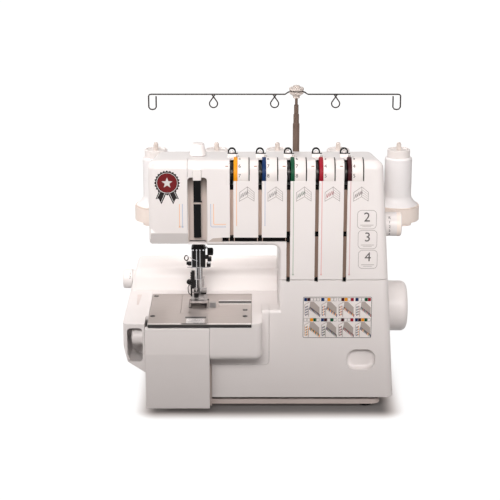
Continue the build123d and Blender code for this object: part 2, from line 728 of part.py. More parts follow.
def waste_flap():
    """Hanging scrap flap, creased across, with its knuckle and pin."""
    top = FLAP_HINGE_Y - FLAP_KNUCKLE_R
    crease = top - FLAP_BULGE
    foot = top - FLAP_BULGE / 4
    sheet = [(top, FLAP_HINGE_Z), (crease, FLAP_CREASE), (foot, FLAP_BOTTOM),
             (foot + FLAP_THICK, FLAP_BOTTOM), (crease + FLAP_THICK, FLAP_CREASE),
             (top + FLAP_THICK, FLAP_HINGE_Z)]
    flap = prism_x(sheet, FLAP_LEFT, FLAP_RIGHT)
    flap += rod_x(FLAP_LEFT, FLAP_RIGHT, FLAP_HINGE_Y, FLAP_HINGE_Z, FLAP_KNUCKLE_R)
    return flap + rod_x(FLAP_LEFT - WALL, FLAP_RIGHT + WALL, FLAP_HINGE_Y, FLAP_HINGE_Z, FLAP_PIN_R)


def channel_cover():
    """Recessed channel in the arm's front with a central rib and a cap."""
    left = FACE_SPLIT + GAP
    right = CHANNEL_RIGHT - GAP
    high = CHANNEL_TOP - GAP
    cover = block(left, right, WALL / 2, CHANNEL_DEPTH + WALL, SLIT_Z, high)
    cover -= block(left + WALL / 2, right - WALL / 2, 0, CHANNEL_DEPTH, 0, high - WALL / 2)
    rib_left = (left + right - CHANNEL_RIB) / 2
    rib_right = rib_left + CHANNEL_RIB
    cover += block(rib_left, rib_right, WALL / 2, CHANNEL_DEPTH, SLIT_Z + SLIT_HEIGHT, high)
    cap = block(rib_left, rib_right, -WALL, -GAP, high - WALL, high + CHANNEL_CAP)
    cap = fillet(edges_where(cap, lambda c: near(c.Y, -WALL)), WALL / 2)
    return cover + cap + block(rib_left, rib_right, -GAP, CHANNEL_DEPTH, high - WALL, high)


def thread_guides(outer):
    """Five small arched guides on the top, one behind each slot."""
    width = 2 * SLOT_WIDTH
    front = UPPER_SPLIT + SLOT_WIDTH
    guides = []
    for x in SLOT_XS:
        head = top_at(front) + GUIDE_RISE
        arch = block(x - width / 2, x + width / 2, front, front + SLOT_WIDTH, head - 4 * SLOT_WIDTH, head)
        shoulders = edges_where(arch, lambda c: near(c.Z, head) and near(c.Y, front + SLOT_WIDTH / 2))
        arch = fillet(shoulders, SLOT_WIDTH * 0.95)
        eye = SLOT_WIDTH / 2
        arch -= block(x - eye, x + eye, 0, FAR, head - 4 * eye, head - eye)
        guides.append(arch - outer)
    return Part() + guides


def lamp_lens():
    """Clear window of the sewing lamp under the arm."""
    top = ARM_BOTTOM + LAMP_THICK
    return block(LAMP_LEFT, LAMP_LEFT + LAMP_WIDTH, LAMP_Y, LAMP_Y + LAMP_DEPTH, ARM_BOTTOM, top)


def tension_dial(x):
    """Thumb dial with a collar groove, bored for its shaft."""
    left = x + SLOT_WIDTH / 2 + GAP
    right = left + DIAL_WIDTH
    groove = DIAL_R - RUN * 16
    outline = [(left, 0), (left, DIAL_R - GAP), (left + GAP, DIAL_R), (left + COLLAR_WIDTH, DIAL_R),
               (left + COLLAR_WIDTH, groove), (left + COLLAR_WIDTH + 2 * GAP, groove),
               (left + COLLAR_WIDTH + 2 * GAP, DIAL_R), (right - GAP, DIAL_R), (right, DIAL_R - GAP),
               (right, 0)]
    bore = rod_x(left - WALL, right + WALL, DIAL_Y, DIAL_Z, TENSION_SHAFT_R + RUN)
    return turned_x(outline, DIAL_Y, DIAL_Z) - bore


def ear_left(x):
    """Left face of the frame's ear beside a tension dial."""
    return x + SLOT_WIDTH / 2 + DIAL_WIDTH + 4 * GAP


def tension_shafts():
    """Five short shafts held in the frame's ears."""
    reach = 2 * DISC_THICK + GAP
    shafts = []
    for x in SLOT_XS:
        shafts.append(rod_x(x - reach, ear_left(x) + EAR_THICK, DIAL_Y, DIAL_Z, TENSION_SHAFT_R))
    return Part() + shafts


def tension_discs():
    """Five pairs of discs in the thread slots."""
    discs = []
    for x in SLOT_XS:
        for left in (x - DISC_THICK - GAP / 2, x + GAP / 2):
            disc = rod_x(left, left + DISC_THICK, DIAL_Y, DIAL_Z, DISC_R)
            discs.append(disc - rod_x(left - WALL, left + WALL, DIAL_Y, DIAL_Z, TENSION_SHAFT_R))
    return Part() + discs


def bearing_places():
    """Left faces of the four walls that carry the main shaft."""
    return [FRAME_LEFT + 2 * FRAME_WALL, -FRAME_WALL, STANDARD_LEFT, STANDARD_RIGHT]


def machine_frame():
    """Cast frame: floor, two standards, arm beam, head, tension ears, bearing pillars and posts."""
    floor = BASE_TOP + FRAME_WALL
    rear = BODY_DEPTH - 2 * WALL - GAP
    beam_top = BEAM_Z + BEAM_HEIGHT
    beam_rear = BEAM_Y + BEAM_DEPTH
    standard_front = UPPER_SPLIT + GAP
    frame = block(FRAME_LEFT, FRAME_RIGHT, FRAME_FRONT + 2 * FRAME_WALL, rear - FRAME_WALL, BASE_TOP, floor)
    tongue_right = STRIP_LEFT - WALL / 2
    frame += block(FRAME_LEFT, tongue_right, 2 * WALL, FRAME_FRONT + 2 * FRAME_WALL, BASE_TOP, floor)
    frame += block(FRAME_LEFT, KNIFE_BACK, LOWER_SPLIT, FRAME_FRONT + 2 * FRAME_WALL, BASE_TOP, floor)
    for x in (STANDARD_LEFT, STANDARD_RIGHT):
        frame += block(x, x + FRAME_WALL, standard_front, rear - FRAME_WALL, floor, beam_top - FRAME_WALL)
    frame += block(HEAD_LEFT, STANDARD_RIGHT, BEAM_Y, beam_rear, BEAM_Z, beam_top)
    # Head with its guides
    back = BEAM_Y - 2 * WALL
    head_front = NEEDLE_Y - 2 * BAR_R
    guide_right = LEVER_X + 2 * LEVER_R
    frame += block(HEAD_LEFT, guide_right, back, BEAM_Y, GUIDE_LOW, beam_top)
    frame += block(HEAD_LEFT, HEAD_LEFT + WALL, head_front, BEAM_Y, GUIDE_LOW, beam_top)
    frame += block(HEAD_LEFT, HEAD_RIGHT, head_front, BEAM_Y, GUIDE_LOW, GUIDE_LOW + GUIDE_THICK)
    upper_guide = GUIDE_LOW + 3 * GUIDE_THICK
    guide_rear = NEEDLE_Y + BAR_R + WALL / 2
    frame += block(HEAD_LEFT, HEAD_RIGHT, head_front, guide_rear, upper_guide, upper_guide + GUIDE_THICK)
    frame += block(HEAD_LEFT, HEAD_RIGHT, PRESSER_Y - 2 * BAR_R, BEAM_Y, PRESSURE_STEM_Z + WALL, beam_top)
    frame -= rod_z(NEEDLE_X, NEEDLE_Y, 0, FAR, BAR_R + RUN)
    frame -= rod_z(NEEDLE_X, PRESSER_Y, 0, PRESSURE_STEM_Z, BAR_R + RUN)
    frame -= rod_z(NEEDLE_X, PRESSER_Y, PRESSURE_STEM_Z, FAR, PRESSURE_STEM_R + RUN)
    frame -= rod_y(LEVER_X, 0, FAR, LEVER_Z, LEVER_R + RUN)
    # Bracket and ears of the tension units
    ear_rear = DIAL_Y + DIAL_R + WALL
    bracket_rear = standard_front + WALL
    frame += block(SLOT_XS[0], ear_left(SLOT_XS[-1]) + EAR_THICK, ear_rear, bracket_rear, BEAM_Z, beam_top)
    frame += block(-FRAME_WALL, 0, ear_rear, BEAM_Y, BEAM_Z, beam_top)
    for x in SLOT_XS:
        left = ear_left(x)
        frame += block(left, left + EAR_THICK, DIAL_Y - 2 * TENSION_SHAFT_R, bracket_rear,
                       BEAM_Z, DIAL_Z + 2 * TENSION_SHAFT_R)
        frame -= rod_x(left - GAP, left + EAR_THICK + GAP, DIAL_Y, DIAL_Z, TENSION_SHAFT_R)
    # Bearings of the main shaft
    for x in bearing_places()[:2]:
        frame += block(x, x + FRAME_WALL, SHAFT_Y - BUSH_R - WALL * 2, SHAFT_Y + BUSH_R + WALL * 2,
                       floor, SHAFT_Z + BUSH_R + WALL * 2)
    frame -= rod_x(FRAME_LEFT, FRAME_RIGHT, SHAFT_Y, SHAFT_Z, BUSH_R)
    # Bed supports, looper posts, knife pillar and plate post
    ledge_z = PLATE_Z - LEDGE_THICK
    bed_front = LOWER_SPLIT + WALL
    frame += block(FRAME_LEFT, FRAME_LEFT + FRAME_WALL, bed_front, rear - FRAME_WALL, floor, ledge_z)
    frame += block(PLATE_LEFT, FRAME_LEFT + FRAME_WALL, bed_front, PLATE_REAR - LEDGE,
                   ledge_z - FRAME_WALL, ledge_z)
    frame += block(PLATE_RIGHT - LEDGE, PLATE_RIGHT + LEDGE, UPPER_SPLIT, PLATE_REAR - LEDGE, floor, ledge_z)
    post = 2 * LOOPER_R
    post_top = LOOPER_Z + post
    lower_y = LOWER_LOOPER_Y + LOOPER_R + 2 * GAP
    upper_y = UPPER_LOOPER_Y + LOOPER_R + 2 * GAP
    lower_post = block(LOWER_LOOPER_X - post, LOWER_LOOPER_X + post, lower_y, lower_y + 2 * post,
                       floor, post_top)
    upper_post = block(FRAME_LEFT, UPPER_LOOPER_X + post, upper_y, upper_y + 2 * post, floor, post_top)
    frame += lower_post - rod_y(LOWER_LOOPER_X, 0, FAR, LOOPER_Z, LOOPER_R + RUN)
    frame += upper_post
    frame -= rod_y(UPPER_LOOPER_X, upper_y - GAP, upper_y + 2 * post + GAP, LOOPER_Z, LOOPER_R + RUN)
    pillar_front = KNIFE_Y - 2 * BAR_R - GAP
    frame += block(KNIFE_LEFT, KNIFE_BACK, pillar_front, KNIFE_Y - GAP, floor, KNIFE_GUIDE_TOP)
    frame += block(PLATE_SPLIT - BAR_R, tongue_right, 2 * WALL, 2 * WALL + 2 * BAR_R, floor, PLATE_Z)
    feed_guide = FEED_FRONT + FEED_LENGTH + FRAME_WALL
    half = 2 * FEED_ROW
    frame += block(NEEDLE_X - half, NEEDLE_X + half, feed_guide, feed_guide + FRAME_WALL, floor, FEED_Z - GAP)
    return frame


def needle_bar():
    """Round bar that carries the needle clamp."""
    return rod_z(NEEDLE_X, NEEDLE_Y, CLAMP_BOTTOM + CLAMP_HEIGHT / 2, NEEDLE_BAR_TOP, BAR_R)


def needle_places():
    """X places of the two needles."""
    return [NEEDLE_X - NEEDLE_PITCH / 2, NEEDLE_X + NEEDLE_PITCH / 2]


def needle_clamp():
    """Black clamp block on the bar with its set screws and thread guides."""
    half = 2 * BAR_R
    top = CLAMP_BOTTOM + CLAMP_HEIGHT
    front = NEEDLE_Y - CLAMP_HALF
    rear = NEEDLE_Y + CLAMP_HALF
    clamp = block(NEEDLE_X - half, NEEDLE_X + half, front, rear, CLAMP_BOTTOM, top - BAR_R)
    clamp += rod_z(NEEDLE_X, NEEDLE_Y, CLAMP_BOTTOM, top, BAR_R + WALL)
    for x, side in ((NEEDLE_X - half, -1), (NEEDLE_X + half, 1)):
        clamp += rod_x(x, x + side * BAR_R, NEEDLE_Y - WALL, CLAMP_BOTTOM + (2 + side) * BAR_R, WALL)
    clamp -= rod_z(NEEDLE_X, NEEDLE_Y, CLAMP_BOTTOM + CLAMP_HEIGHT / 2, FAR, BAR_R)
    for x in needle_places():
        clamp -= rod_z(x, NEEDLE_LINE, 0, CLAMP_BOTTOM + 2 * BAR_R, NEEDLE_R)
    return clamp


def needles():
    """Two needles with tapered points."""
    shank = CLAMP_BOTTOM + 2 * BAR_R
    outline = [(0, NEEDLE_TIP), (NEEDLE_R / 6, NEEDLE_TIP), (NEEDLE_R, NEEDLE_TIP + 5 * NEEDLE_R),
               (NEEDLE_R, shank), (0, shank)]
    return Part() + [turned_z(outline, x, NEEDLE_LINE) for x in needle_places()]


def presser_bar():
    """Bar that carries the foot, with the collar that the lifter raises."""
    bar = rod_z(NEEDLE_X, PRESSER_Y, ANKLE_TOP - 2 * BAR_R, PRESSER_BAR_TOP, BAR_R)
    collar_top = PRESSER_COLLAR_Z + PRESSER_COLLAR_H
    return bar + rod_z(NEEDLE_X, PRESSER_Y, PRESSER_COLLAR_Z, collar_top, PRESSER_COLLAR_R)


def presser_foot():
    """Foot with a turned-up toe, a needle opening and the ankle that holds the bar."""
    sole = BED_TOP + GAP
    half = FOOT_HALF
    front = NEEDLE_Y - FOOT_TOE
    side = [(front, sole + 2 * FOOT_SOLE), (front + 3 * FOOT_SOLE, sole), (PRESSER_Y + 2 * BAR_R, sole),
            (PRESSER_Y + 2 * BAR_R, sole + FOOT_SOLE), (front + 3 * FOOT_SOLE, sole + FOOT_SOLE),
            (front, sole + 3 * FOOT_SOLE)]
    foot = prism_x(side, NEEDLE_X - half, NEEDLE_X + half)
    slot = NEEDLE_PITCH + 2 * NEEDLE_R
    foot -= block(NEEDLE_X - slot, NEEDLE_X + slot, NEEDLE_LINE - BAR_R, NEEDLE_LINE + BAR_R, 0, FAR)
    ankle = 1.5 * BAR_R
    foot += block(NEEDLE_X - ankle, NEEDLE_X + ankle, PRESSER_Y - ankle, PRESSER_Y + ankle,
                  sole + FOOT_SOLE / 2, ANKLE_TOP)
    return foot - rod_z(NEEDLE_X, PRESSER_Y, ANKLE_TOP - 2 * BAR_R, FAR, BAR_R)


def presser_spring():
    """Coil spring between the bar's collar and the pressure screw."""
    low = PRESSER_COLLAR_Z + PRESSER_COLLAR_H + SPRING_WIRE + GAP
    high = PRESSURE_STEM_Z - SPRING_WIRE - GAP
    radius = SPRING_R - SPRING_WIRE
    path = Helix(pitch=(high - low) / SPRING_TURNS, height=high - low, radius=radius)
    coil = sweep(Plane(origin=path @ 0, z_dir=path % 0) * Circle(SPRING_WIRE), path)
    return Pos(NEEDLE_X, PRESSER_Y, low) * coil


def pressure_knob():
    """Tapered knob on the top, with the hollow screw that loads the spring."""
    seat = top_at(PRESSER_Y) + TOP_FALL * PRESSURE_KNOB_R + GAP
    crown = WALL / 2
    outline = [(BAR_R + GAP, PRESSURE_STEM_Z), (PRESSURE_STEM_R, PRESSURE_STEM_Z), (PRESSURE_STEM_R, seat),
               (PRESSURE_KNOB_R, seat), (PRESSURE_KNOB_R - 2 * crown, PRESSURE_KNOB_TOP - crown),
               (PRESSURE_KNOB_R - 3 * crown, PRESSURE_KNOB_TOP), (0, PRESSURE_KNOB_TOP), (0, seat),
               (BAR_R + GAP, seat - crown)]
    return turned_z(outline, NEEDLE_X, PRESSER_Y)


def presser_lever():
    """Lifter at the back of the arm: shaft, lobe under the collar and handle."""
    handle_y = BODY_DEPTH + 2 * WALL
    lever = rod_y(LEVER_X, PRESSER_Y - 2 * BAR_R, handle_y, LEVER_Z, LEVER_R)
    lobe = LEVER_R * 2 / 3
    lever += block(LEVER_X - LEVER_LOBE, LEVER_X, PRESSER_Y - BAR_R, PRESSER_Y + BAR_R,
                   LEVER_Z - lobe, LEVER_Z + lobe)
    lever += rod_y(LEVER_X, BODY_DEPTH + GAP, handle_y + BAR_R, LEVER_Z, 2 * LEVER_R)
    grip = [(LEVER_X, LEVER_Z + 1.5 * LEVER_R), (LEVER_X - LEVER_REACH, LEVER_Z + LEVER_R - WALL),
            (LEVER_X - LEVER_REACH, LEVER_Z - LEVER_R - WALL), (LEVER_X, LEVER_Z - 1.5 * LEVER_R)]
    arm = prism_y(grip, BODY_DEPTH + WALL, handle_y + BAR_R)
    return lever + arm


def feed_dog():
    """Two toothed rows on a carrier behind the needles."""
    rows = feed_rows()
    carrier_z = FEED_Z
    rear = FEED_FRONT + FEED_LENGTH
    dog = block(rows[0], rows[1] + FEED_ROW, rear - 2 * FEED_ROW, rear, carrier_z, carrier_z + 2 * FEED_ROW)
    for x in rows:
        dog += block(x, x + FEED_ROW, FEED_FRONT, rear, carrier_z + FEED_ROW, BED_TOP - GAP)
    dog += block(NEEDLE_X - FEED_ROW, NEEDLE_X + FEED_ROW, rear - FEED_ROW, SHAFT_Y - 2 * BUSH_R, carrier_z,
                 carrier_z + FEED_ROW)
    return dog


def upper_knife():
    """Moving knife in its holder, right of the foot."""
    nose = BED_TOP + KNIFE_RISE
    knife = block(KNIFE_LEFT, KNIFE_RIGHT, KNIFE_Y, KNIFE_Y + KNIFE_DEPTH, KNIFE_GUIDE_TOP - KNIFE_SHANK, nose)
    knife -= prism_x([(KNIFE_Y, nose), (KNIFE_Y + KNIFE_DEPTH / 2, nose), (KNIFE_Y, nose - KNIFE_DEPTH / 2)],
                     KNIFE_LEFT, KNIFE_RIGHT)
    return knife


def lower_knife():
    """Fixed knife beside the moving one."""
    left = KNIFE_RIGHT + GAP
    low = KNIFE_GUIDE_TOP - FRAME_WALL
    return block(left, KNIFE_BACK, KNIFE_Y - GAP, KNIFE_Y + KNIFE_DEPTH, low, BED_TOP)


def looper(x, y, tip_x):
    """Hooked looper arm on its pivot pin."""
    pin_end = y + LOOPER_R + 2 * GAP + 4 * LOOPER_R
    half = LOOPER_R / 2
    arm = rod_y(x, y - LOOPER_R, pin_end, LOOPER_Z, LOOPER_R)
    arm += rod_y(x, y - LOOPER_R, y + LOOPER_R, LOOPER_Z, 2 * LOOPER_R)
    bend = x + (tip_x - x) / 4
    outline = [(x - LOOPER_R, LOOPER_Z), (x + LOOPER_R, LOOPER_Z), (bend + half, LOOPER_TIP_Z - LOOPER_R),
               (tip_x, LOOPER_TIP_Z - half), (tip_x, LOOPER_TIP_Z), (bend - half, LOOPER_TIP_Z)]
    if tip_x > x:
        outline = [(x + LOOPER_R, LOOPER_Z), (x - LOOPER_R, LOOPER_Z), (bend - half, LOOPER_TIP_Z - LOOPER_R),
                   (tip_x, LOOPER_TIP_Z - half), (tip_x, LOOPER_TIP_Z), (bend + half, LOOPER_TIP_Z)]
    return arm + prism_y(hull_order(outline), y - half, y + half)


def hull_order(points):
    """Points of a star-shaped outline in turning order."""
    cx = sum(p[0] for p in points) / len(points)
    cz = sum(p[1] for p in points) / len(points)
    return sorted(points, key=lambda p: math.atan2(p[1] - cz, p[0] - cx))


def main_shaft():
    """Main shaft with two eccentrics for the loopers and the feed."""
    left = bearing_places()[0] - WALL
    shaft = rod_x(left, wheel_left() + WHEEL_WIDTH - 2 * WALL, SHAFT_Y, SHAFT_Z, SHAFT_R)
    for x in (NEEDLE_X - FRAME_WALL, NEEDLE_X + 2 * FRAME_WALL):
        shaft += rod_x(x, x + FRAME_WALL, SHAFT_Y, SHAFT_Z + WALL, SHAFT_R + 2 * WALL)
    return shaft


def shaft_bushes():
    """Bronze bushes in the four bearing walls."""
    bushes = []
    for x in bearing_places():
        bush = rod_x(x, x + FRAME_WALL, SHAFT_Y, SHAFT_Z, BUSH_R)
        bushes.append(bush - rod_x(x - WALL, x + 2 * FRAME_WALL, SHAFT_Y, SHAFT_Z, SHAFT_R + RUN))
    return Part() + bushes


def wheel_left():
    """Inner face of the handwheel, clear of the drafted side."""
    return right_at(SHAFT_Z - WHEEL_R) + WALL / 2


def handwheel():
    """Handwheel with a rounded outer rim and a hub recess, on the shaft's end."""
    left = wheel_left()
    right = left + WHEEL_WIDTH
    wheel = rod_x(left, right, SHAFT_Y, SHAFT_Z, WHEEL_R)
    wheel = fillet(edges_where(wheel, lambda c: near(c.X, right)), WHEEL_R / 4)
    wheel = fillet(edges_where(wheel, lambda c: near(c.X, left)), WALL)
    return wheel - main_shaft()


def grooved_pulley(left, radius, y, z, bore):
    """Flat-belt pulley with two flanges."""
    right = left + PULLEY_WIDTH
    flange = (PULLEY_WIDTH - BELT_WIDTH) / 2 - GAP
    rim = radius + PULLEY_FLANGE
    outline = [(left, bore), (left, rim), (left + flange, rim), (left + flange, radius),
               (right - flange, radius), (right - flange, rim), (right, rim), (right, bore)]
    return turned_x(outline, y, z)


def drive_pulley():
    """Large pulley on the main shaft."""
    return grooved_pulley(PULLEY_X, PULLEY_R, SHAFT_Y, SHAFT_Z, SHAFT_R)


def motor_pulley():
    """Small pulley with the motor's shaft."""
    pulley = grooved_pulley(PULLEY_X, MOTOR_PULLEY_R, MOTOR_Y, MOTOR_Z, MOTOR_SHAFT_R / 2)
    return pulley + rod_x(motor_left() + WALL, PULLEY_X + PULLEY_WIDTH, MOTOR_Y, MOTOR_Z, MOTOR_SHAFT_R)


def motor_left():
    """Motor's mounting face on the left standard."""
    return STANDARD_LEFT + FRAME_WALL


def motor():
    """Motor body on the left standard."""
    right = PULLEY_X - WALL
    body = rod_x(motor_left(), right, MOTOR_Y, MOTOR_Z, MOTOR_R)
    body = fillet(edges_where(body, lambda c: near(c.X, right)), UNDER_R)
    return body - rod_x(motor_left() + WALL - GAP, FAR, MOTOR_Y, MOTOR_Z, MOTOR_SHAFT_R + RUN)


def belt_loop(extra):
    """Face of the belt's side, grown from the pulleys."""
    big = Pos(SHAFT_Y, SHAFT_Z) * Circle(PULLEY_R + extra)
    small = Pos(MOTOR_Y, MOTOR_Z) * Circle(MOTOR_PULLEY_R + extra)
    return make_hull(big.edges() + small.edges())


def drive_belt():
    """Belt round the two pulleys."""
    left = PULLEY_X + (PULLEY_WIDTH - BELT_WIDTH) / 2
    ring = belt_loop(2 * RUN + BELT_THICK) - belt_loop(2 * RUN)
    return extrude(Plane.YZ.offset(left) * ring, amount=BELT_WIDTH, dir=(1, 0, 0))


def side_dial(x_in, x_out, y, z, radius, stem_end):
    """Knob on a side wall with its stem through the wall."""
    low, high = sorted((x_in, x_out))
    knob = rod_x(low, high, y, z, radius)
    knob = fillet(edges_where(knob, lambda c: near(c.X, x_out)), WALL)
    stem_low, stem_high = sorted((x_in, stem_end))
    return knob + rod_x(stem_low, stem_high, y, z, DIAL_STEM_R)


def stitch_length_dial():
    """Dial high on the right side."""
    face = right_at(STITCH_DIAL_Z - STITCH_DIAL_R) + GAP
    return side_dial(face, STITCH_DIAL_END, STITCH_DIAL_Y, STITCH_DIAL_Z, STITCH_DIAL_R, face - 4 * WALL)


def differential_dial():
    """Dial low on the left side, behind the bed."""
    face = BED_LEFT - GAP
    return side_dial(face, DIFF_DIAL_END, DIFF_DIAL_Y, DIFF_DIAL_Z, DIFF_DIAL_R, face + 4 * WALL)


def cutting_width_dial():
    """Dial in the window of the bed's left wing."""
    face = FLAP_LEFT - 2 * GAP - WALL
    return side_dial(face, face - WIDTH_DIAL_LENGTH, WIDTH_DIAL_Y, WIDTH_DIAL_Z, WIDTH_DIAL_R, face + WALL)


def inlet_face():
    """Outer face of the inlet housing."""
    return right_at(INLET_Z) + INLET_PROUD


def rocker_place():
    """Middle of the rocker switch in Y and Z and its pivot's X."""
    y = INLET_Y + INLET_WIDTH - ROCKER_WIDTH / 2 - 2 * WALL
    return inlet_face() - 3 * WALL, y, INLET_Z + INLET_HEIGHT / 2


def power_inlet():
    """Housing with the lead's socket and the switch's well."""
    face = inlet_face()
    back = face - INLET_DEPTH
    low = INLET_Z + GAP
    high = INLET_Z + INLET_HEIGHT - GAP
    housing = block(back, face, INLET_Y + GAP, INLET_Y + INLET_WIDTH - GAP, low, high)
    socket_y = INLET_Y + 2 * WALL
    housing -= block(face - SOCKET_DEPTH, FAR, socket_y, socket_y + SOCKET_WIDTH, low + WALL, high - WALL)
    pivot, y, z = rocker_place()
    half = ROCKER_WIDTH / 2 + GAP
    well = ROCKER_HALF + WALL - GAP
    housing -= block(face - SOCKET_DEPTH, FAR, y - half, y + half, z - well, z + well)
    return housing - rod_y(pivot, y - half - WALL, y + half + WALL / 2, z, ROCKER_PIN_R + RUN)


def power_switch():
    """Rocker on its pivot pins."""
    pivot, y, z = rocker_place()
    half = ROCKER_WIDTH / 2
    proud = inlet_face() + WALL / 2 - pivot
    side = [(-WALL, WALL - ROCKER_HALF), (0, -ROCKER_HALF), (proud, -ROCKER_HALF), (proud - WALL / 2, 0),
            (proud, ROCKER_HALF), (0, ROCKER_HALF), (-WALL, ROCKER_HALF - WALL)]
    rocker = prism_y(side, -half, half) + rod_y(0, -half - WALL, half + WALL / 2, 0, ROCKER_PIN_R)
    return Pos(pivot, y, z) * Rot(0, -ROCKER_TILT, 0) * rocker


def spool_stand():
    """Tray behind the body with five round seats, a mast boss and its bracket."""
    right = PIN_XS[-1] + (FIRST_PIN - STAND_LEFT)
    rear = STAND_FRONT + STAND_DEPTH
    tray = block(STAND_LEFT, right, STAND_FRONT, rear, STAND_Z, STAND_TOP)
    tray = fillet(tray.edges().filter_by(Axis.Z), EDGE_R)
    tray += block(STAND_BRACKET_LEFT, STAND_BRACKET_RIGHT, BODY_DEPTH, STAND_FRONT + EDGE_R,
                  STAND_Z, STAND_TOP)
    tray += block(STAND_BRACKET_LEFT, STAND_BRACKET_RIGHT, BODY_DEPTH, BODY_DEPTH + 2 * WALL,
                  STAND_Z - STAND_BRACKET_DROP, STAND_TOP)
    for x in PIN_XS:
        tray += rod_z(x, PIN_Y, STAND_Z + STAND_THICK / 2, SEAT_TOP, SEAT_R)
    tray += rod_z(MAST_X, MAST_Y, STAND_Z, STAND_TOP + MAST_BOSS_H, MAST_BOSS_R)
    tray -= rod_z(MAST_X, MAST_Y, STAND_Z + STAND_THICK / 2, FAR, MAST_R)
    for x in PIN_XS:
        tray -= rod_z(x, PIN_Y, STAND_Z + STAND_THICK / 2, FAR, PIN_R)
    return tray


def spool_pins():
    """Five upright pins with rounded tops."""
    pins = []
    for x in PIN_XS:
        pin = rod_z(x, PIN_Y, STAND_Z + STAND_THICK / 2, PIN_TOP, PIN_R)
        pins.append(fillet(edges_where(pin, lambda c: near(c.Z, PIN_TOP)), PIN_R * 0.8))
    return Part() + pins


def thread_spool(x):
    """Cone spool wound with thread, standing on its seat."""
    low = SEAT_TOP + GAP
    top = low + SPOOL_HEIGHT
    rim = SPOOL_BASE_R - SPOOL_R
    outline = [(SPOOL_BORE_R, low), (SPOOL_BASE_R, low), (SPOOL_BASE_R, low + rim / 4),
               (SPOOL_R + rim / 4, low + 0.8 * rim), (SPOOL_R, low + 1.4 * rim), (SPOOL_R, top - rim),
               (SPOOL_TOP_R, top - 0.7 * rim), (SPOOL_TOP_R, top), (SPOOL_BORE_R, top)]
    return turned_z(outline, x, PIN_Y)


def mast_stage(index):
    """One tube of the telescopic mast; the lowest one is the widest."""
    step = MAST_WALL + RUN
    radius = MAST_R - index * step
    foot = STAND_Z + STAND_THICK / 2 + index * WALL
    top = MAST_TOP + index * MAST_STEP
    tube = rod_z(MAST_X, MAST_Y, foot, top, radius)
    return tube - rod_z(MAST_X, MAST_Y, foot + WALL / 2, FAR, radius - MAST_WALL)


def eye_places():
    """X places of the wire's five thread eyes."""
    inset = EYE_WIDTH / 2
    first = WIRE_LEFT + inset
    pitch = (WIRE_RIGHT - WIRE_LEFT - 2 * inset) / (SLOT_COUNT - 1)
    return [first + pitch * i for i in range(SLOT_COUNT)]


def thread_eye():
    """Long closed loop of wire, standing on end."""
    path = (Plane.XZ * SlotOverall(EYE_HEIGHT, EYE_WIDTH, rotation=90)).face().outer_wire()
    return sweep(Plane(origin=path @ 0, z_dir=path % 0) * Circle(WIRE_R), path)


def thread_guide_wire():
    """Hub on the mast's top with a long wire and five thread eyes."""
    stem_r = MAST_R - 3 * (MAST_WALL + RUN)
    top = HUB_Z + HUB_HEIGHT
    shoulder = HUB_R - WALL
    outline = [(0, HUB_Z), (HUB_R, HUB_Z), (HUB_R, top - WALL), (shoulder, top), (0, top)]
    guide = turned_z(outline, MAST_X, MAST_Y)
    guide += rod_z(MAST_X, MAST_Y, MAST_TOP, HUB_Z, stem_r)
    guide += rod_x(WIRE_LEFT, WIRE_RIGHT, MAST_Y, WIRE_Z, WIRE_R)
    for x in eye_places():
        guide += Pos(x, MAST_Y, WIRE_Z - EYE_HEIGHT / 2) * thread_eye()
    return guide


def screws():
    """Plate screws and the back's cover screws, one kind."""
    found = [rod_z(x, y, PLATE_Z, BED_TOP + GAP, SCREW_R) for x, y in plate_screw_places()]
    back = BODY_DEPTH + WALL / 2
    inset = 2 * EDGE_R
    right = right_at(SEAM_Z) - inset
    places = [(ARM_LEFT + inset, ARM_BOTTOM + inset), (right, ARM_BOTTOM + inset), (right, UNDER_BED),
              (ARM_LEFT + inset, UNDER_BED + 2 * inset)]
    found += [rod_y(x, BODY_DEPTH, back, z, SCREW_R) for x, z in places]
    return Part() + found


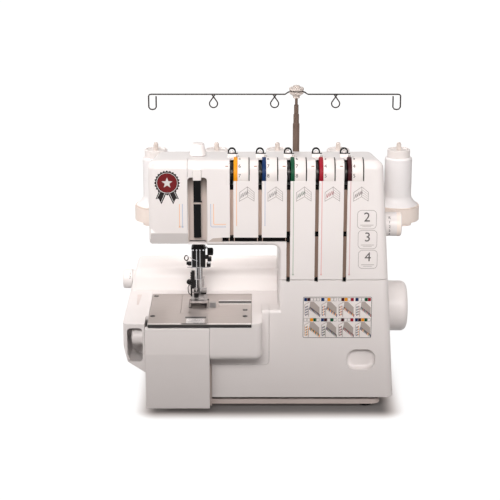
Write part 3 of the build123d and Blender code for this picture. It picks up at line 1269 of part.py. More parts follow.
def build_parts():
    """All pieces by name, in the drawing datum."""
    outer = body_form(0)
    shell = body_shell()
    parts = {
        "base_tub": base_tub(),
        "rubber_feet": rubber_feet(),
        "machine_frame": machine_frame(),
        "rear_cover": rear_cover(shell),
        "upper_front_cover": upper_front_cover(shell),
        "face_cover": face_cover(shell),
        "front_cover": front_cover(shell),
        "cover_hinge_rod": cover_hinge_rod(),
        "bed_cover": bed_cover(),
        "rear_bed_cover": rear_bed_cover(),
        "cloth_plate": cloth_plate(),
        "needle_plate": needle_plate(),
        "waste_flap": waste_flap(),
        "channel_cover": channel_cover(),
        "thread_guides": thread_guides(outer),
        "lamp_lens": lamp_lens(),
        "tension_shafts": tension_shafts(),
        "tension_discs": tension_discs(),
        "needle_bar": needle_bar(),
        "needle_clamp": needle_clamp(),
        "needles": needles(),
        "presser_bar": presser_bar(),
        "presser_foot": presser_foot(),
        "presser_spring": presser_spring(),
        "pressure_knob": pressure_knob(),
        "presser_lever": presser_lever(),
        "feed_dog": feed_dog(),
        "upper_knife": upper_knife(),
        "lower_knife": lower_knife(),
        "upper_looper": looper(UPPER_LOOPER_X, UPPER_LOOPER_Y, UPPER_LOOPER_TIP),
        "lower_looper": looper(LOWER_LOOPER_X, LOWER_LOOPER_Y, LOWER_LOOPER_TIP),
        "main_shaft": main_shaft(),
        "shaft_bushes": shaft_bushes(),
        "handwheel": handwheel(),
        "drive_pulley": drive_pulley(),
        "motor_pulley": motor_pulley(),
        "motor": motor(),
        "drive_belt": drive_belt(),
        "stitch_length_dial": stitch_length_dial(),
        "differential_dial": differential_dial(),
        "cutting_width_dial": cutting_width_dial(),
        "power_inlet": power_inlet(),
        "power_switch": power_switch(),
        "spool_stand": spool_stand(),
        "spool_pins": spool_pins(),
        "mast_lower": mast_stage(0),
        "mast_middle": mast_stage(1),
        "mast_upper": mast_stage(2),
        "thread_guide_wire": thread_guide_wire(),
        "screws": screws(),
    }
    for index, x in enumerate(SLOT_XS, 1):
        parts[f"tension_dial_{index}"] = tension_dial(x)
    for index, x in enumerate(PIN_XS, 1):
        parts[f"thread_spool_{index}"] = thread_spool(x)
    return parts


def bottom_centre(parts):
    """Middle of the whole's lowest level, which becomes the origin."""
    boxes = [part.bounding_box() for part in parts.values()]
    low_x = min(box.min.X for box in boxes)
    high_x = max(box.max.X for box in boxes)
    low_y = min(box.min.Y for box in boxes)
    high_y = max(box.max.Y for box in boxes)
    return Vector((low_x + high_x) / 2, (low_y + high_y) / 2, min(box.min.Z for box in boxes))


PARTS = build_parts()
ORIGIN = bottom_centre(PARTS)
os.makedirs("parts", exist_ok=True)
for name, part in PARTS.items():
    export_step(Location(-ORIGIN) * part, f"parts/{name}.step")
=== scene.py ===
import json
import logging
import math
from dataclasses import dataclass
from enum import Enum
from typing import Callable, Iterable, Optional, Sequence

import bmesh
import bpy
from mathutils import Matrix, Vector


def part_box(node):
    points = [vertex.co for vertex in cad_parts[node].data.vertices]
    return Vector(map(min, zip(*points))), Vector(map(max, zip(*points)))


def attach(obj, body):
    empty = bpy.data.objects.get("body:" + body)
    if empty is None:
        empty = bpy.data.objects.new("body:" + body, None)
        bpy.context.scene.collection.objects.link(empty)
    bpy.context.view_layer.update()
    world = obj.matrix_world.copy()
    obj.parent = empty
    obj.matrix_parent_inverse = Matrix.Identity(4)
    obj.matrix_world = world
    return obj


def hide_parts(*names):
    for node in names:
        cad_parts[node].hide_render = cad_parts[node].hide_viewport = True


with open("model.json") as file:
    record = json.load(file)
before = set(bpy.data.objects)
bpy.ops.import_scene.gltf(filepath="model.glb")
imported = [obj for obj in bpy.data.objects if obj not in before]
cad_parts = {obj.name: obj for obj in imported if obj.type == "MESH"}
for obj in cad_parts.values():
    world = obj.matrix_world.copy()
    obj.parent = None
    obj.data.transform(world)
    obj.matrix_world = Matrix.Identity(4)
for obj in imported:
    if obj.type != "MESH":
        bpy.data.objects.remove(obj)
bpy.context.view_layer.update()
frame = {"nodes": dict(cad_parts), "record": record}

# Looks of a five-thread overlock machine, in datum millimetres: x = 0 lies PLATE_EDGE inside the needle
# plate's right edge, y = 0 at the covers' front face, z = 0 at the table. A finished piece is in row metres.

LOG = logging.getLogger("overlock")

# Sizes that several pieces share, such as ink below and above the face, and liners behind the front wall.
MM = 0.001
ZERO = 1e-6
UNITS = range(1, 6)
PLATE_EDGE = 2.0
INK_DEPTH = 0.05
INK_PROUD = 0.12
LINER_FRONT = 2.55
FIGURE_SHARE = 0.72

# Settings of the finishes' nodes. The mix node's colour inputs and its colour output are known by number.
NOISE_SPAN = (0.3, 0.7)
BROAD_SCALE = 16.0
BROAD_DETAIL = 2.0
FINE_DETAIL = 4.0
BRUSH_STRETCH = (0.03, 1.0, 1.0)
BRUSH_ANISOTROPY = 0.45
THREAD_SLANT = (0.12, 0.05, 0.0)
THREAD_SHEEN = 0.25
GLASS_CLEARNESS = 0.6
ROUGHNESS_DIP = 0.05
ROUGHNESS_RISE = 0.06
ROUGHNESS_FLOOR = 0.04
# Shares of a piece's height over which painted shade darkens it towards its top.
TOP_SHADE_SPAN = (0.58, 0.9)
RELIEF_HEIGHT = 0.0003
BEVEL_SAMPLES = 4
MIX_INPUTS = (0, 6, 7)
MIX_OUTPUT = 2

Colour = tuple[float, float, float]
Point2 = tuple[float, float]
Point3 = tuple[float, float, float]
Placer = Callable[[float, float, float], Vector]
Socket = bpy.types.NodeSocket


class Axis(Enum):
    """Direction of an extrusion or a turned axis; the other two coordinates keep their order."""

    X = 0
    Y = 1
    Z = 2

    def point(self, a: float, b: float, along: float) -> Vector:
        """Point with `a` and `b` across the axis and `along` on it."""
        values = [a, b]
        values.insert(self.value, along)
        return Vector(values)


class Surface(Enum):
    """Families of surface, each with its own node recipe."""

    MOULDED = "moulded"
    BRUSHED = "brushed"
    POLISHED = "polished"
    CAST = "cast"
    WOUND = "wound"
    # Painted shade that darkens a piece towards its top.
    FADED = "top_shaded"
    GLASS = "glass"


class Thread(Enum):
    """The five thread paths and their colour codes, from the left."""

    ORANGE = 1
    BLUE = 2
    GREEN = 3
    RED = 4
    MAROON = 5

    @property
    def in_arm(self) -> bool:
        """True for the two paths in the arm, False for those in the column."""
        return self in (Thread.ORANGE, Thread.BLUE)


@dataclass(frozen=True)
class Box:
    """Box of a node at rest, in datum millimetres."""

    lo: Vector
    hi: Vector

    @property
    def centre(self) -> Vector:
        """Middle of the box."""
        return (self.lo + self.hi) / 2

    @property
    def size(self) -> Vector:
        """Length of each side."""
        return self.hi - self.lo


@dataclass(frozen=True)
class Datum:
    """Drawing datum of the machine in the row frame."""

    origin: Vector

    @classmethod
    def of_frame(cls) -> "Datum":
        """Datum read from the needle plate and the front cover.

        Returns:
            The datum whose origin is in row metres.
        """
        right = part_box("needle_plate")[1].x - PLATE_EDGE * MM
        return cls(Vector((right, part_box("upper_front_cover")[0].y, 0.0)))

    def row(self, point: Vector) -> Vector:
        """Row-frame place of a datum point."""
        return self.origin + point * MM

    def box(self, node: str) -> Box:
        """Box of a CAD node.

        Args:
            node: name of the node.

        Returns:
            Its box in datum millimetres.
        """
        lo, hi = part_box(node)
        return Box((lo - self.origin) / MM, (hi - self.origin) / MM)

    def islands(self, node: str) -> list[Box]:
        """Boxes of the separate solids in a CAD node.

        Args:
            node: name of the node.

        Returns:
            One box for each solid, from left to right.
        """
        mesh = bmesh.new()
        mesh.from_mesh(frame["nodes"][node].data)
        bmesh.ops.remove_doubles(mesh, verts=mesh.verts, dist=ZERO)
        left = set(mesh.verts)
        found = []
        while left:
            queue = [left.pop()]
            island = []
            while queue:
                vert = queue.pop()
                island.append(vert.co.copy())
                near = {edge.other_vert(vert) for edge in vert.link_edges} & left
                left -= near
                queue.extend(near)
            low = Vector([min(co[i] for co in island) for i in range(3)])
            high = Vector([max(co[i] for co in island) for i in range(3)])
            found.append(Box((low - self.origin) / MM, (high - self.origin) / MM))
        mesh.free()
        return sorted(found, key=lambda box: (round(box.lo.x, 2), round(box.lo.y, 2), round(box.lo.z, 2)))


DATUM = Datum.of_frame()


class Graph:
    """Node tree of one material or of the world."""

    def __init__(self, tree: bpy.types.NodeTree) -> None:
        """Start from an empty tree."""
        self.tree = tree
        self.tree.nodes.clear()

    def fill(self, socket: Socket, value: object) -> None:
        """Link an output to an input, or set the input's own value."""
        if isinstance(value, Socket):
            self.tree.links.new(value, socket)
        else:
            socket.default_value = value

    def add(self, kind: str, settings: Optional[dict] = None, **inputs: object) -> bpy.types.Node:
        """Add a node and fill its inputs by name.

        Args:
            kind: Blender's name of the node type.
            settings: attributes of the node.
            inputs: value or output socket for each input, spaces written as underscores.

        Returns:
            The new node.
        """
        node = self.tree.nodes.new(kind)
        for key, value in (settings or {}).items():
            setattr(node, key, value)
        for key, value in inputs.items():
            self.fill(node.inputs[key.replace("_", " ")], value)
        return node

    def join(self, kind: str, *values: object, operation: str = "") -> Socket:
        """Add a node and fill its inputs in order.

        Args:
            kind: Blender's name of the node type.
            values: value or output socket for each input.
            operation: what a math node does.

        Returns:
            The node's result.
        """
        node = self.add(kind, {"operation": operation} if operation else None)
        for socket, value in zip(node.inputs, values):
            self.fill(socket, value)
        return node.outputs["Value" if operation == "LENGTH" else 0]

    def noise(self, vector: Socket, scale: float, detail: float) -> Socket:
        """Grey noise of a given scale."""
        return self.add("ShaderNodeTexNoise", Vector=vector, Scale=scale, Detail=detail).outputs[0]

    def ranged(self, value: Socket, span: Point2, ends: Point2, smooth: bool = False) -> Socket:
        """Value moved from one span to another, and held at its ends.

        Args:
            value: what is moved.
            span: where it comes from.
            ends: where it goes.
            smooth: True for a soft start and end.

        Returns:
            The moved value.
        """
        kind = "SMOOTHSTEP" if smooth else "LINEAR"
        node = self.add("ShaderNodeMapRange", {"interpolation_type": kind}, Value=value, From_Min=span[0],
                        From_Max=span[1], To_Min=ends[0], To_Max=ends[1])
        return node.outputs[0]

    def mixed(self, factor: Socket, first: Colour, second: Colour) -> Socket:
        """Colour between two shades.

        Args:
            factor: share of the second shade.
            first: shade at 0.
            second: shade at 1.

        Returns:
            The colour socket.
        """
        node = self.add("ShaderNodeMix", {"data_type": "RGBA"})
        for index, value in zip(MIX_INPUTS, (factor, (*first, 1.0), (*second, 1.0))):
            self.fill(node.inputs[index], value)
        return node.outputs[MIX_OUTPUT]


@dataclass(frozen=True)
class Finish:
    """One procedural finish: shade, drift to a second shade, roughness and relief from its nodes."""

    name: str
    surface: Surface
    shade: Colour
    drift: Colour
    roughness: float
    grain: float = 900.0
    relief: float = 0.12
    metallic: float = 0.0
    coat: float = 0.0
    rounding: float = 0.0
    specular: float = 0.5

    def material(self) -> bpy.types.Material:
        """The Blender material, made once.

        Returns:
            The material of this finish.
        """
        title = f"{self.name}_finish"
        found = bpy.data.materials.get(title)
        if found is not None:
            return found
        material = bpy.data.materials.new(title)
        material.use_nodes = True
        material.diffuse_color = (*self.shade, 1.0)
        graph = Graph(material.node_tree)
        place = graph.add("ShaderNodeTexCoord").outputs["Object"]
        shader = graph.add("ShaderNodeBsdfPrincipled", Metallic=self.metallic, Coat_Weight=self.coat,
                           Specular_IOR_Level=self.specular)
        graph.add("ShaderNodeOutputMaterial", Surface=shader.outputs[0])
        height = self.dress(graph, shader, place)
        self.emboss(graph, shader, height)
        return material

    def dress(self, graph: Graph, shader: bpy.types.Node, place: Socket) -> Socket:
        """Colour and roughness of the surface family.

        Args:
            graph: tree to add to.
            shader: the surface shader.
            place: object coordinates.

        Returns:
            Height that the relief follows.
        """
        drift = graph.noise(place, BROAD_SCALE, BROAD_DETAIL)
        if self.surface is Surface.BRUSHED:
            stretched = graph.add("ShaderNodeMapping", Vector=place, Scale=BRUSH_STRETCH).outputs[0]
            fine = graph.noise(stretched, self.grain, FINE_DETAIL)
            drift = fine
            shader.inputs["Anisotropic"].default_value = BRUSH_ANISOTROPY
        elif self.surface is Surface.WOUND:
            fine = self.windings(graph, place)
            drift = graph.join("ShaderNodeMath", drift, fine, operation="MULTIPLY")
            shader.inputs["Sheen Weight"].default_value = THREAD_SHEEN
        elif self.surface is Surface.CAST:
            fine = graph.add("ShaderNodeTexVoronoi", Vector=place, Scale=self.grain).outputs["Distance"]
        else:
            fine = graph.noise(place, self.grain, FINE_DETAIL)
        # Painted shade, darker towards the piece's top, in place of the random drift.
        if self.surface is Surface.FADED:
            drift = self.fading(graph)
        if self.surface is Surface.GLASS:
            shader.inputs["Transmission Weight"].default_value = GLASS_CLEARNESS
        colour = graph.mixed(graph.ranged(drift, NOISE_SPAN, (0.0, 1.0)), self.shade, self.drift)
        graph.fill(shader.inputs["Base Color"], colour)
        rough = (max(self.roughness - ROUGHNESS_DIP, ROUGHNESS_FLOOR), self.roughness + ROUGHNESS_RISE)
        graph.fill(shader.inputs["Roughness"], graph.ranged(fine, NOISE_SPAN, rough))
        return fine

    def fading(self, graph: Graph) -> Socket:
        """Painted shade under a recess's top: height over the piece, high only near its top, as a share that
        `dress` stretches.
        """
        place = graph.add("ShaderNodeTexCoord").outputs["Generated"]
        height = graph.add("ShaderNodeSeparateXYZ", Vector=place).outputs["Z"]
        return graph.ranged(height, TOP_SHADE_SPAN, NOISE_SPAN, True)

    def windings(self, graph: Graph, place: Socket) -> Socket:
        """Slightly slanted turns of thread."""
        tilt = graph.add("ShaderNodeMapping", Vector=place, Rotation=THREAD_SLANT).outputs[0]
        wave = graph.add("ShaderNodeTexWave", {"bands_direction": "Z"}, Vector=tilt, Scale=self.grain,
                         Distortion=1.5, Detail=2.0, Detail_Scale=2.0)
        return wave.outputs[1]

    def emboss(self, graph: Graph, shader: bpy.types.Node, height: Socket) -> None:
        """Relief of the surface, over softly rounded edges where the finish has them."""
        bump = graph.add("ShaderNodeBump", Strength=self.relief, Distance=RELIEF_HEIGHT, Height=height)
        if self.rounding:
            soft = graph.add("ShaderNodeBevel", {"samples": BEVEL_SAMPLES}, Radius=self.rounding * MM)
            graph.fill(bump.inputs["Normal"], soft.outputs[0])
        graph.fill(shader.inputs["Normal"], bump.outputs[0])


def moulded(name: str, shade: Colour, drift: Colour, roughness: float, **more: float) -> Finish:
    """Finish of a moulded or painted piece."""
    return Finish(name, Surface.MOULDED, shade, drift, roughness, **more)


def brushed(name: str, shade: Colour, drift: Colour, roughness: float, grain: float = 1400.0,
            metallic: float = 0.9) -> Finish:
    """Finish of a brushed or turned metal."""
    return Finish(name, Surface.BRUSHED, shade, drift, roughness, grain, 0.1, metallic)


def polished(name: str, shade: Colour, drift: Colour, roughness: float, grain: float = 1200.0,
             relief: float = 0.05, metallic: float = 1.0) -> Finish:
    """Finish of a smooth metal."""
    return Finish(name, Surface.POLISHED, shade, drift, roughness, grain, relief, metallic)


def ink(name: str, shade: Colour) -> Finish:
    """Finish of a printed mark, a little mottled."""
    drift = tuple(min(value * 1.12 + 0.01, 1.0) for value in shade)
    return moulded(name, shade, drift, 0.6, grain=1500.0, relief=0.06, specular=0.15)


def gloss(name: str, shade: Colour) -> Finish:
    """Finish of a coloured plastic ring."""
    drift = tuple(value * 0.86 for value in shade)
    return moulded(name, shade, drift, 0.42, specular=0.12)


WHITE = moulded("white_cover", (0.865, 0.832, 0.822), (0.84, 0.804, 0.792), 0.36, coat=0.05, rounding=0.6,
                specular=0.3)
DIAL_WHITE = moulded("dial_white", (0.88, 0.84, 0.82), (0.85, 0.808, 0.787), 0.34, coat=0.05, specular=0.3)
CREAM = moulded("cream_plastic", (0.94, 0.85, 0.785), (0.90, 0.80, 0.735), 0.42, specular=0.3)
# Partly painted shade: a grey base, made darker and warmer for the shade it sits in under the covers.
BASE_IN_SHADE = moulded("base_grey", (0.76, 0.665, 0.625), (0.69, 0.60, 0.56), 0.62, relief=0.3, specular=0.2)
RUBBER = moulded("foot_rubber", (0.02, 0.02, 0.02), (0.035, 0.034, 0.033), 0.78, relief=0.35, specular=0.2)
ALLOY = Finish("frame_alloy", Surface.CAST, (0.42, 0.43, 0.44), (0.50, 0.51, 0.52), 0.5, 700.0, 0.3, 0.85)
STEEL = brushed("plate_steel", (0.40, 0.36, 0.342), (0.50, 0.455, 0.432), 0.4, metallic=0.95)
BRIGHT_STEEL = brushed("bright_steel", (0.78, 0.75, 0.74), (0.68, 0.65, 0.64), 0.3)
CHROME = polished("bright_chrome", (0.66, 0.66, 0.67), (0.56, 0.56, 0.58), 0.2)
SHADED_CHROME = polished("shaded_chrome", (0.20, 0.19, 0.19), (0.28, 0.27, 0.27), 0.24, relief=0.06)
FOOT_STEEL = brushed("foot_steel", (0.30, 0.285, 0.28), (0.38, 0.36, 0.355), 0.34)
DARK_STEEL = polished("dark_steel", (0.024, 0.022, 0.021), (0.045, 0.042, 0.04), 0.34, 900.0, 0.1, 0.7)
BLACK_METAL = moulded("black_metal", (0.008, 0.008, 0.008), (0.016, 0.015, 0.015), 0.32, relief=0.2,
                      specular=0.1)
BLACK_GLOSS = moulded("black_gloss", (0.006, 0.006, 0.007), (0.010, 0.010, 0.010), 0.3, relief=0.03,
                      specular=0.05)
BLACK_PLASTIC = moulded("black_plastic", (0.02, 0.02, 0.02), (0.032, 0.031, 0.03), 0.5, relief=0.3,
                        specular=0.3)
MOTOR_PAINT = moulded("motor_paint", (0.08, 0.083, 0.09), (0.10, 0.105, 0.11), 0.45)
TURNED_ALLOY = brushed("pulley_alloy", (0.5, 0.5, 0.51), (0.6, 0.6, 0.61), 0.3, 1600.0, 1.0)
BELT = moulded("belt_rubber", (0.025, 0.025, 0.025), (0.04, 0.04, 0.04), 0.8, relief=0.3, specular=0.2)
BRONZE = brushed("bush_bronze", (0.42, 0.26, 0.10), (0.50, 0.33, 0.15), 0.35, 1500.0, 1.0)
THREAD_WHITE = Finish("thread_white", Surface.WOUND, (0.93, 0.915, 0.92), (0.965, 0.955, 0.958), 0.72, 330.0,
                      0.4)
PIN = moulded("pin_plastic", (0.72, 0.655, 0.61), (0.68, 0.61, 0.565), 0.4, specular=0.3)
MAST = moulded("mast_bronze", (0.155, 0.108, 0.087), (0.205, 0.15, 0.123), 0.42, relief=0.1, specular=0.1)
WIRE = moulded("guide_wire", (0.022, 0.017, 0.015), (0.04, 0.032, 0.028), 0.4, metallic=0.4, relief=0.1)
LENS = Finish("lamp_glass", Surface.GLASS, (0.86, 0.85, 0.80), (0.80, 0.79, 0.75), 0.4, 600.0, 0.1)
# Painted shade: tan, brown and black for the shade inside slots, slits, gaps and vent openings.
SLOT_SHADE_TAN = moulded("slot_shade_tan", (0.66, 0.52, 0.45), (0.58, 0.45, 0.385), 0.5, specular=0.2)
SLOT_SHADE_BROWN = moulded("slot_shade_brown", (0.38, 0.27, 0.215), (0.31, 0.215, 0.17), 0.5, specular=0.2)
SHADE_BLACK = moulded("painted_shade_black", (0.005, 0.0045, 0.0045), (0.009, 0.008, 0.008), 0.5, specular=0.04)
# Painted shade of the thread channel's recess: tan walls that go nearly black towards its top.
CHANNEL_SHADE = Finish("channel_shade", Surface.FADED, (0.62, 0.54, 0.50), (0.11, 0.085, 0.075), 0.4,
                       specular=0.3)
# Painted shade of the shallow groove that runs into the slit.
RUN_IN_PAINTED_SHADE = moulded("run_in_shade", (0.56, 0.485, 0.445), (0.50, 0.43, 0.39), 0.4, specular=0.3)
MARK_FAINT = ink("mark_faint", (0.74, 0.67, 0.645))
INK_DARK = ink("ink_dark", (0.035, 0.03, 0.03))
INK_SOFT = ink("ink_soft", (0.10, 0.09, 0.088))
INK_GREY = ink("ink_grey", (0.34, 0.31, 0.30))
INK_CLOTH = ink("ink_cloth", (0.42, 0.37, 0.345))
INK_PANEL = ink("ink_panel", (0.80, 0.765, 0.75))
INK_BROWN = ink("ink_brown", (0.38, 0.19, 0.12))
BADGE_DARK = ink("badge_dark", (0.012, 0.008, 0.008))
BADGE_RED = ink("badge_red", (0.15, 0.010, 0.012))
BADGE_SILVER = ink("badge_silver", (0.66, 0.64, 0.63))
COLLARS = {
    Thread.ORANGE: gloss("collar_orange", (0.86, 0.34, 0.015)),
    Thread.BLUE: gloss("collar_blue", (0.007, 0.032, 0.12)),
    Thread.GREEN: gloss("collar_green", (0.006, 0.082, 0.036)),
    Thread.RED: gloss("collar_red", (0.36, 0.015, 0.03)),
    Thread.MAROON: gloss("collar_maroon", (0.055, 0.009, 0.013)),
}
LINES = {
    Thread.ORANGE: ink("line_orange", (0.84, 0.55, 0.36)),
    Thread.BLUE: ink("line_blue", (0.50, 0.54, 0.66)),
    Thread.GREEN: ink("line_green", (0.47, 0.54, 0.46)),
    Thread.RED: ink("line_red", (0.78, 0.47, 0.46)),
    Thread.MAROON: ink("line_maroon", (0.66, 0.45, 0.46)),
}
SLOT_FINISH = {
    "white_cover": WHITE, "dial_white": DIAL_WHITE, "base_grey": BASE_IN_SHADE, "foot_rubber": RUBBER,
    "frame_alloy": ALLOY, "plate_steel": STEEL, "bright_chrome": CHROME, "black_metal": BLACK_METAL,
    "black_plastic": BLACK_PLASTIC, "motor_paint": MOTOR_PAINT, "pulley_alloy": TURNED_ALLOY,
    "belt_rubber": BELT, "bush_bronze": BRONZE, "thread_white": THREAD_WHITE, "pin_plastic": PIN,
    "mast_bronze": MAST, "lamp_glass": LENS,
}
NODE_FINISH = {
    "tension_discs": DARK_STEEL, "tension_shafts": DARK_STEEL, "spool_stand": CREAM,
    "presser_bar": SHADED_CHROME, "channel_cover": CHANNEL_SHADE, "upper_knife": FOOT_STEEL,
    "presser_foot": FOOT_STEEL, "needle_bar": SHADED_CHROME,
}


class Shape:
    """Closed solids under construction, in datum millimetres."""

    def __init__(self) -> None:
        """Start with nothing."""
        self.mesh = bmesh.new()

    def skin(self, rings: Sequence[Sequence[bmesh.types.BMVert]], around: bool) -> None:
        """Faces between neighbouring rings of vertices; a ring of one vertex is a pole.

        Args:
            rings: rings in order, each with the same count or a single vertex.
            around: True where each ring closes on itself.
        """
        for first, second in zip(rings, rings[1:]):
            count = max(len(first), len(second))
            steps = count if around else count - 1
            for i in range(steps):
                j = (i + 1) % count
                one, two = len(first), len(second)
                corners = [first[i % one], first[j % one], second[j % two], second[i % two]]
                kept = list(dict.fromkeys(corners))
                if len(kept) > 2:
                    self.mesh.faces.new(kept)

    def prism(self, outline: Sequence[Point2], axis: Axis, start: float, end: float) -> "Shape":
        """Straight solid over a flat outline.

        Args:
            outline: corners across the axis.
            axis: direction of the extrusion.
            start: where it begins on the axis.
            end: where it ends.

        Returns:
            This shape.
        """
        rings = [[self.mesh.verts.new(axis.point(a, b, along)) for a, b in outline] for along in (start, end)]
        self.skin(rings, True)
        for ring in rings:
            self.mesh.faces.new(ring)
        return self

    def block(self, lo: Point3, hi: Point3, soften: float = 0.0) -> "Shape":
        """Block between two corners with softened edges.

        Args:
            lo: lowest corner.
            hi: highest corner.
            soften: width of the rounded edges.

        Returns:
            This shape.
        """
        before = set(self.mesh.edges)
        self.prism([(lo[0], lo[1]), (hi[0], lo[1]), (hi[0], hi[1]), (lo[0], hi[1])], Axis.Z, lo[2], hi[2])
        if soften:
            edges = [edge for edge in self.mesh.edges if edge not in before]
            bmesh.ops.bevel(self.mesh, geom=edges, offset=soften, segments=2, profile=0.7, affect="EDGES")
        return self

    def lathe(self, profile: Sequence[Point2], axis: Axis, centre: Point2, segments: int = 48,
              ring: bool = False, swell: Optional[Callable[[float, float], float]] = None) -> "Shape":
        """Turned solid.

        Args:
            profile: (place on the axis, radius) points; a radius of 0 is a pole.
            axis: the turning axis.
            centre: the axis's place across it.
            segments: facets around.
            ring: True where the profile closes on itself and leaves a bore.
            swell: extra radius by (place on the axis, angle).

        Returns:
            This shape.
        """
        rings = []
        for along, radius in profile:
            count = segments if radius > ZERO else 1
            verts = []
            for i in range(count):
                angle = 2 * math.pi * i / segments
                reach = radius + (swell(along, angle) if swell and radius > ZERO else 0.0)
                a = centre[0] + reach * math.cos(angle)
                b = centre[1] + reach * math.sin(angle)
                verts.append(self.mesh.verts.new(axis.point(a, b, along)))
            rings.append(verts)
        if ring:
            rings.append(rings[0])
        self.skin(rings, True)
        return self

    def tube(self, points: Sequence[Point3], radius: float, sides: int = 10) -> "Shape":
        """Round wire along a line of points, with closed ends.

        Args:
            points: the centre line.
            radius: radius of the wire.
            sides: facets around.

        Returns:
            This shape.
        """
        line = [Vector(point) for point in points]
        normal = None
        rings = []
        for i, point in enumerate(line):
            way = (line[min(i + 1, len(line) - 1)] - line[max(i - 1, 0)]).normalized()
            if normal is None:
                normal = way.orthogonal().normalized()
            normal = (normal - way * normal.dot(way)).normalized()
            side = way.cross(normal)
            turn = [2 * math.pi * k / sides for k in range(sides)]
            rings.append([self.mesh.verts.new(point + radius * (normal * math.cos(t) + side * math.sin(t)))
                          for t in turn])
        self.skin(rings, True)
        for end in (rings[0], rings[-1]):
            self.mesh.faces.new(end)
        return self

    def band(self, points: Sequence[Point2], width: float, axis: Axis, start: float, end: float,
             closed: bool = False) -> "Shape":
        """Flat stroke of one width along a line, as a thin solid.

        Args:
            points: the stroke's middle line across the axis.
            width: width of the stroke.
            axis: direction of its thickness.
            start: where the thickness begins.
            end: where it ends.
            closed: True where the line joins its own start.

        Returns:
            This shape.
        """
        line = [Vector(point) for point in points]
        count = len(line)
        rings = []
        for i, point in enumerate(line):
            before = line[(i - 1) % count] if closed or i > 0 else None
            after = line[(i + 1) % count] if closed or i < count - 1 else None
            ways = [(last - first).normalized() for first, last in ((before, point), (point, after))
                    if first is not None and last is not None]
            way = sum(ways, Vector((0.0, 0.0))).normalized()
            reach = width / 2 / max(way.dot(ways[0]), 0.4)
            side = Vector((-way.y, way.x)) * reach
            corners = [(point + side, start), (point + side, end), (point - side, end), (point - side, start)]
            rings.append([self.mesh.verts.new(axis.point(p.x, p.y, along)) for p, along in corners])
        self.skin(rings + [rings[0]] if closed else rings, True)
        if not closed:
            for cap in (rings[0], rings[-1]):
                self.mesh.faces.new(cap)
        return self

    def text(self, words: str, height: float, place: Placer) -> "Shape":
        """Raised figures.

        Args:
            words: the figures.
            height: their height.
            place: where a point (across, up, out) of the figures goes.

        Returns:
            This shape.
        """
        curve = bpy.data.curves.new("figures", "FONT")
        curve.body = words
        curve.align_x = "CENTER"
        curve.align_y = "CENTER"
        curve.size = height / FIGURE_SHARE
        curve.resolution_u = 3
        curve.extrude = (INK_DEPTH + INK_PROUD) / 2
        carrier = bpy.data.objects.new("figures", curve)
        flat = bpy.data.meshes.new_from_object(carrier)
        drawn = bmesh.new()
        drawn.from_mesh(flat)
        bmesh.ops.remove_doubles(drawn, verts=drawn.verts, dist=1e-5)
        lift = INK_PROUD - curve.extrude
        twins = {}
        for vert in drawn.verts:
            twins[vert] = self.mesh.verts.new(place(vert.co.x, vert.co.y, vert.co.z + lift))
        for face in drawn.faces:
            self.mesh.faces.new([twins[vert] for vert in face.verts])
        drawn.free()
        bpy.data.objects.remove(carrier)
        bpy.data.curves.remove(curve)
        bpy.data.meshes.remove(flat)
        return self

    def piece(self, name: str, body: str, slot: str, finish: Finish,
              smooth: float = 35.0) -> bpy.types.Object:
        """Make the object, dress it and let it ride on a body.

        Args:
            name: name of the piece.
            body: CAD body that carries it.
            slot: material slot of the record; not used.
            finish: its finish.
            smooth: edges sharper than this many degrees stay sharp.

        Returns:
            The finished piece.
        """
        for vert in self.mesh.verts:
            vert.co = DATUM.row(vert.co)
        bmesh.ops.recalc_face_normals(self.mesh, faces=self.mesh.faces)
        mesh = bpy.data.meshes.new(name)
        self.mesh.to_mesh(mesh)
        self.mesh.free()
        mesh.materials.append(finish.material())
        mesh.shade_smooth()
        mesh.set_sharp_from_angle(angle=math.radians(smooth))
        made = bpy.data.objects.new(name, mesh)
        bpy.context.scene.collection.objects.link(made)
        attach(made, body)
        LOG.info("%s rides on %s", name, body)
        return made


def arc(centre: Point2, radius: float, first: float, last: float, steps: int) -> list[Point2]:
    """Points on an arc.

    Args:
        centre: middle of the arc.
        radius: its radius.
        first: start in degrees.
        last: end in degrees.
        steps: number of chords.

    Returns:
        The points, both ends included.
    """
    turns = [math.radians(first + (last - first) * i / steps) for i in range(steps + 1)]
    return [(centre[0] + radius * math.cos(t), centre[1] + radius * math.sin(t)) for t in turns]


def rounded(centre: Point2, width: float, height: float, radius: float, steps: int = 5) -> list[Point2]:
    """Outline of a rectangle with round corners.

    Args:
        centre: its middle.
        width: full width.
        height: full height.
        radius: corner radius.
        steps: chords of each corner.

    Returns:
        The outline, anticlockwise.
    """
    a = width / 2 - radius
    b = height / 2 - radius
    corners = [(a, b, 0), (-a, b, 90), (-a, -b, 180), (a, -b, 270)]
    return [point for x, z, turn in corners
            for point in arc((centre[0] + x, centre[1] + z), radius, turn, turn + 90, steps)]


def straight(start: float, end: float, outer: float, inner: float = 0.0) -> list[Point2]:
    """Profile of a plain rod, or of a plain ring where it has an inner radius."""
    return [(start, inner), (start, outer), (end, outer), (end, inner)]


def trough(first: float, last: float, back: float, wall: float) -> list[Point2]:
    """Outline of a trough that opens to the front, behind the covers' front wall.

    Args:
        first: outer side at the start, across the trough.
        last: outer side at the end.
        back: outer side of its back.
        wall: thickness of its walls.

    Returns:
        The outline as (across, depth) points.
    """
    front = LINER_FRONT
    return [(first, front), (first, back), (last, back), (last, front), (last - wall, front),
            (last - wall, back - wall), (first + wall, back - wall), (first + wall, front)]


def front_print(shape: Shape, outline: Sequence[Point2], proud: float = INK_PROUD) -> Shape:
    """Thin ink patch on the covers' front face."""
    return shape.prism(outline, Axis.Y, INK_DEPTH, -proud)


def front_stroke(shape: Shape, points: Sequence[Point2], width: float, closed: bool = False,
                 proud: float = INK_PROUD) -> Shape:
    """Ink stroke on the covers' front face."""
    return shape.band(points, width, Axis.Y, INK_DEPTH, -proud, closed)


def front_place(x: float, z: float) -> Placer:
    """Place of figures on the front face, centred on a point."""
    return lambda across, up, out: Vector((x + across, -out, z + up))


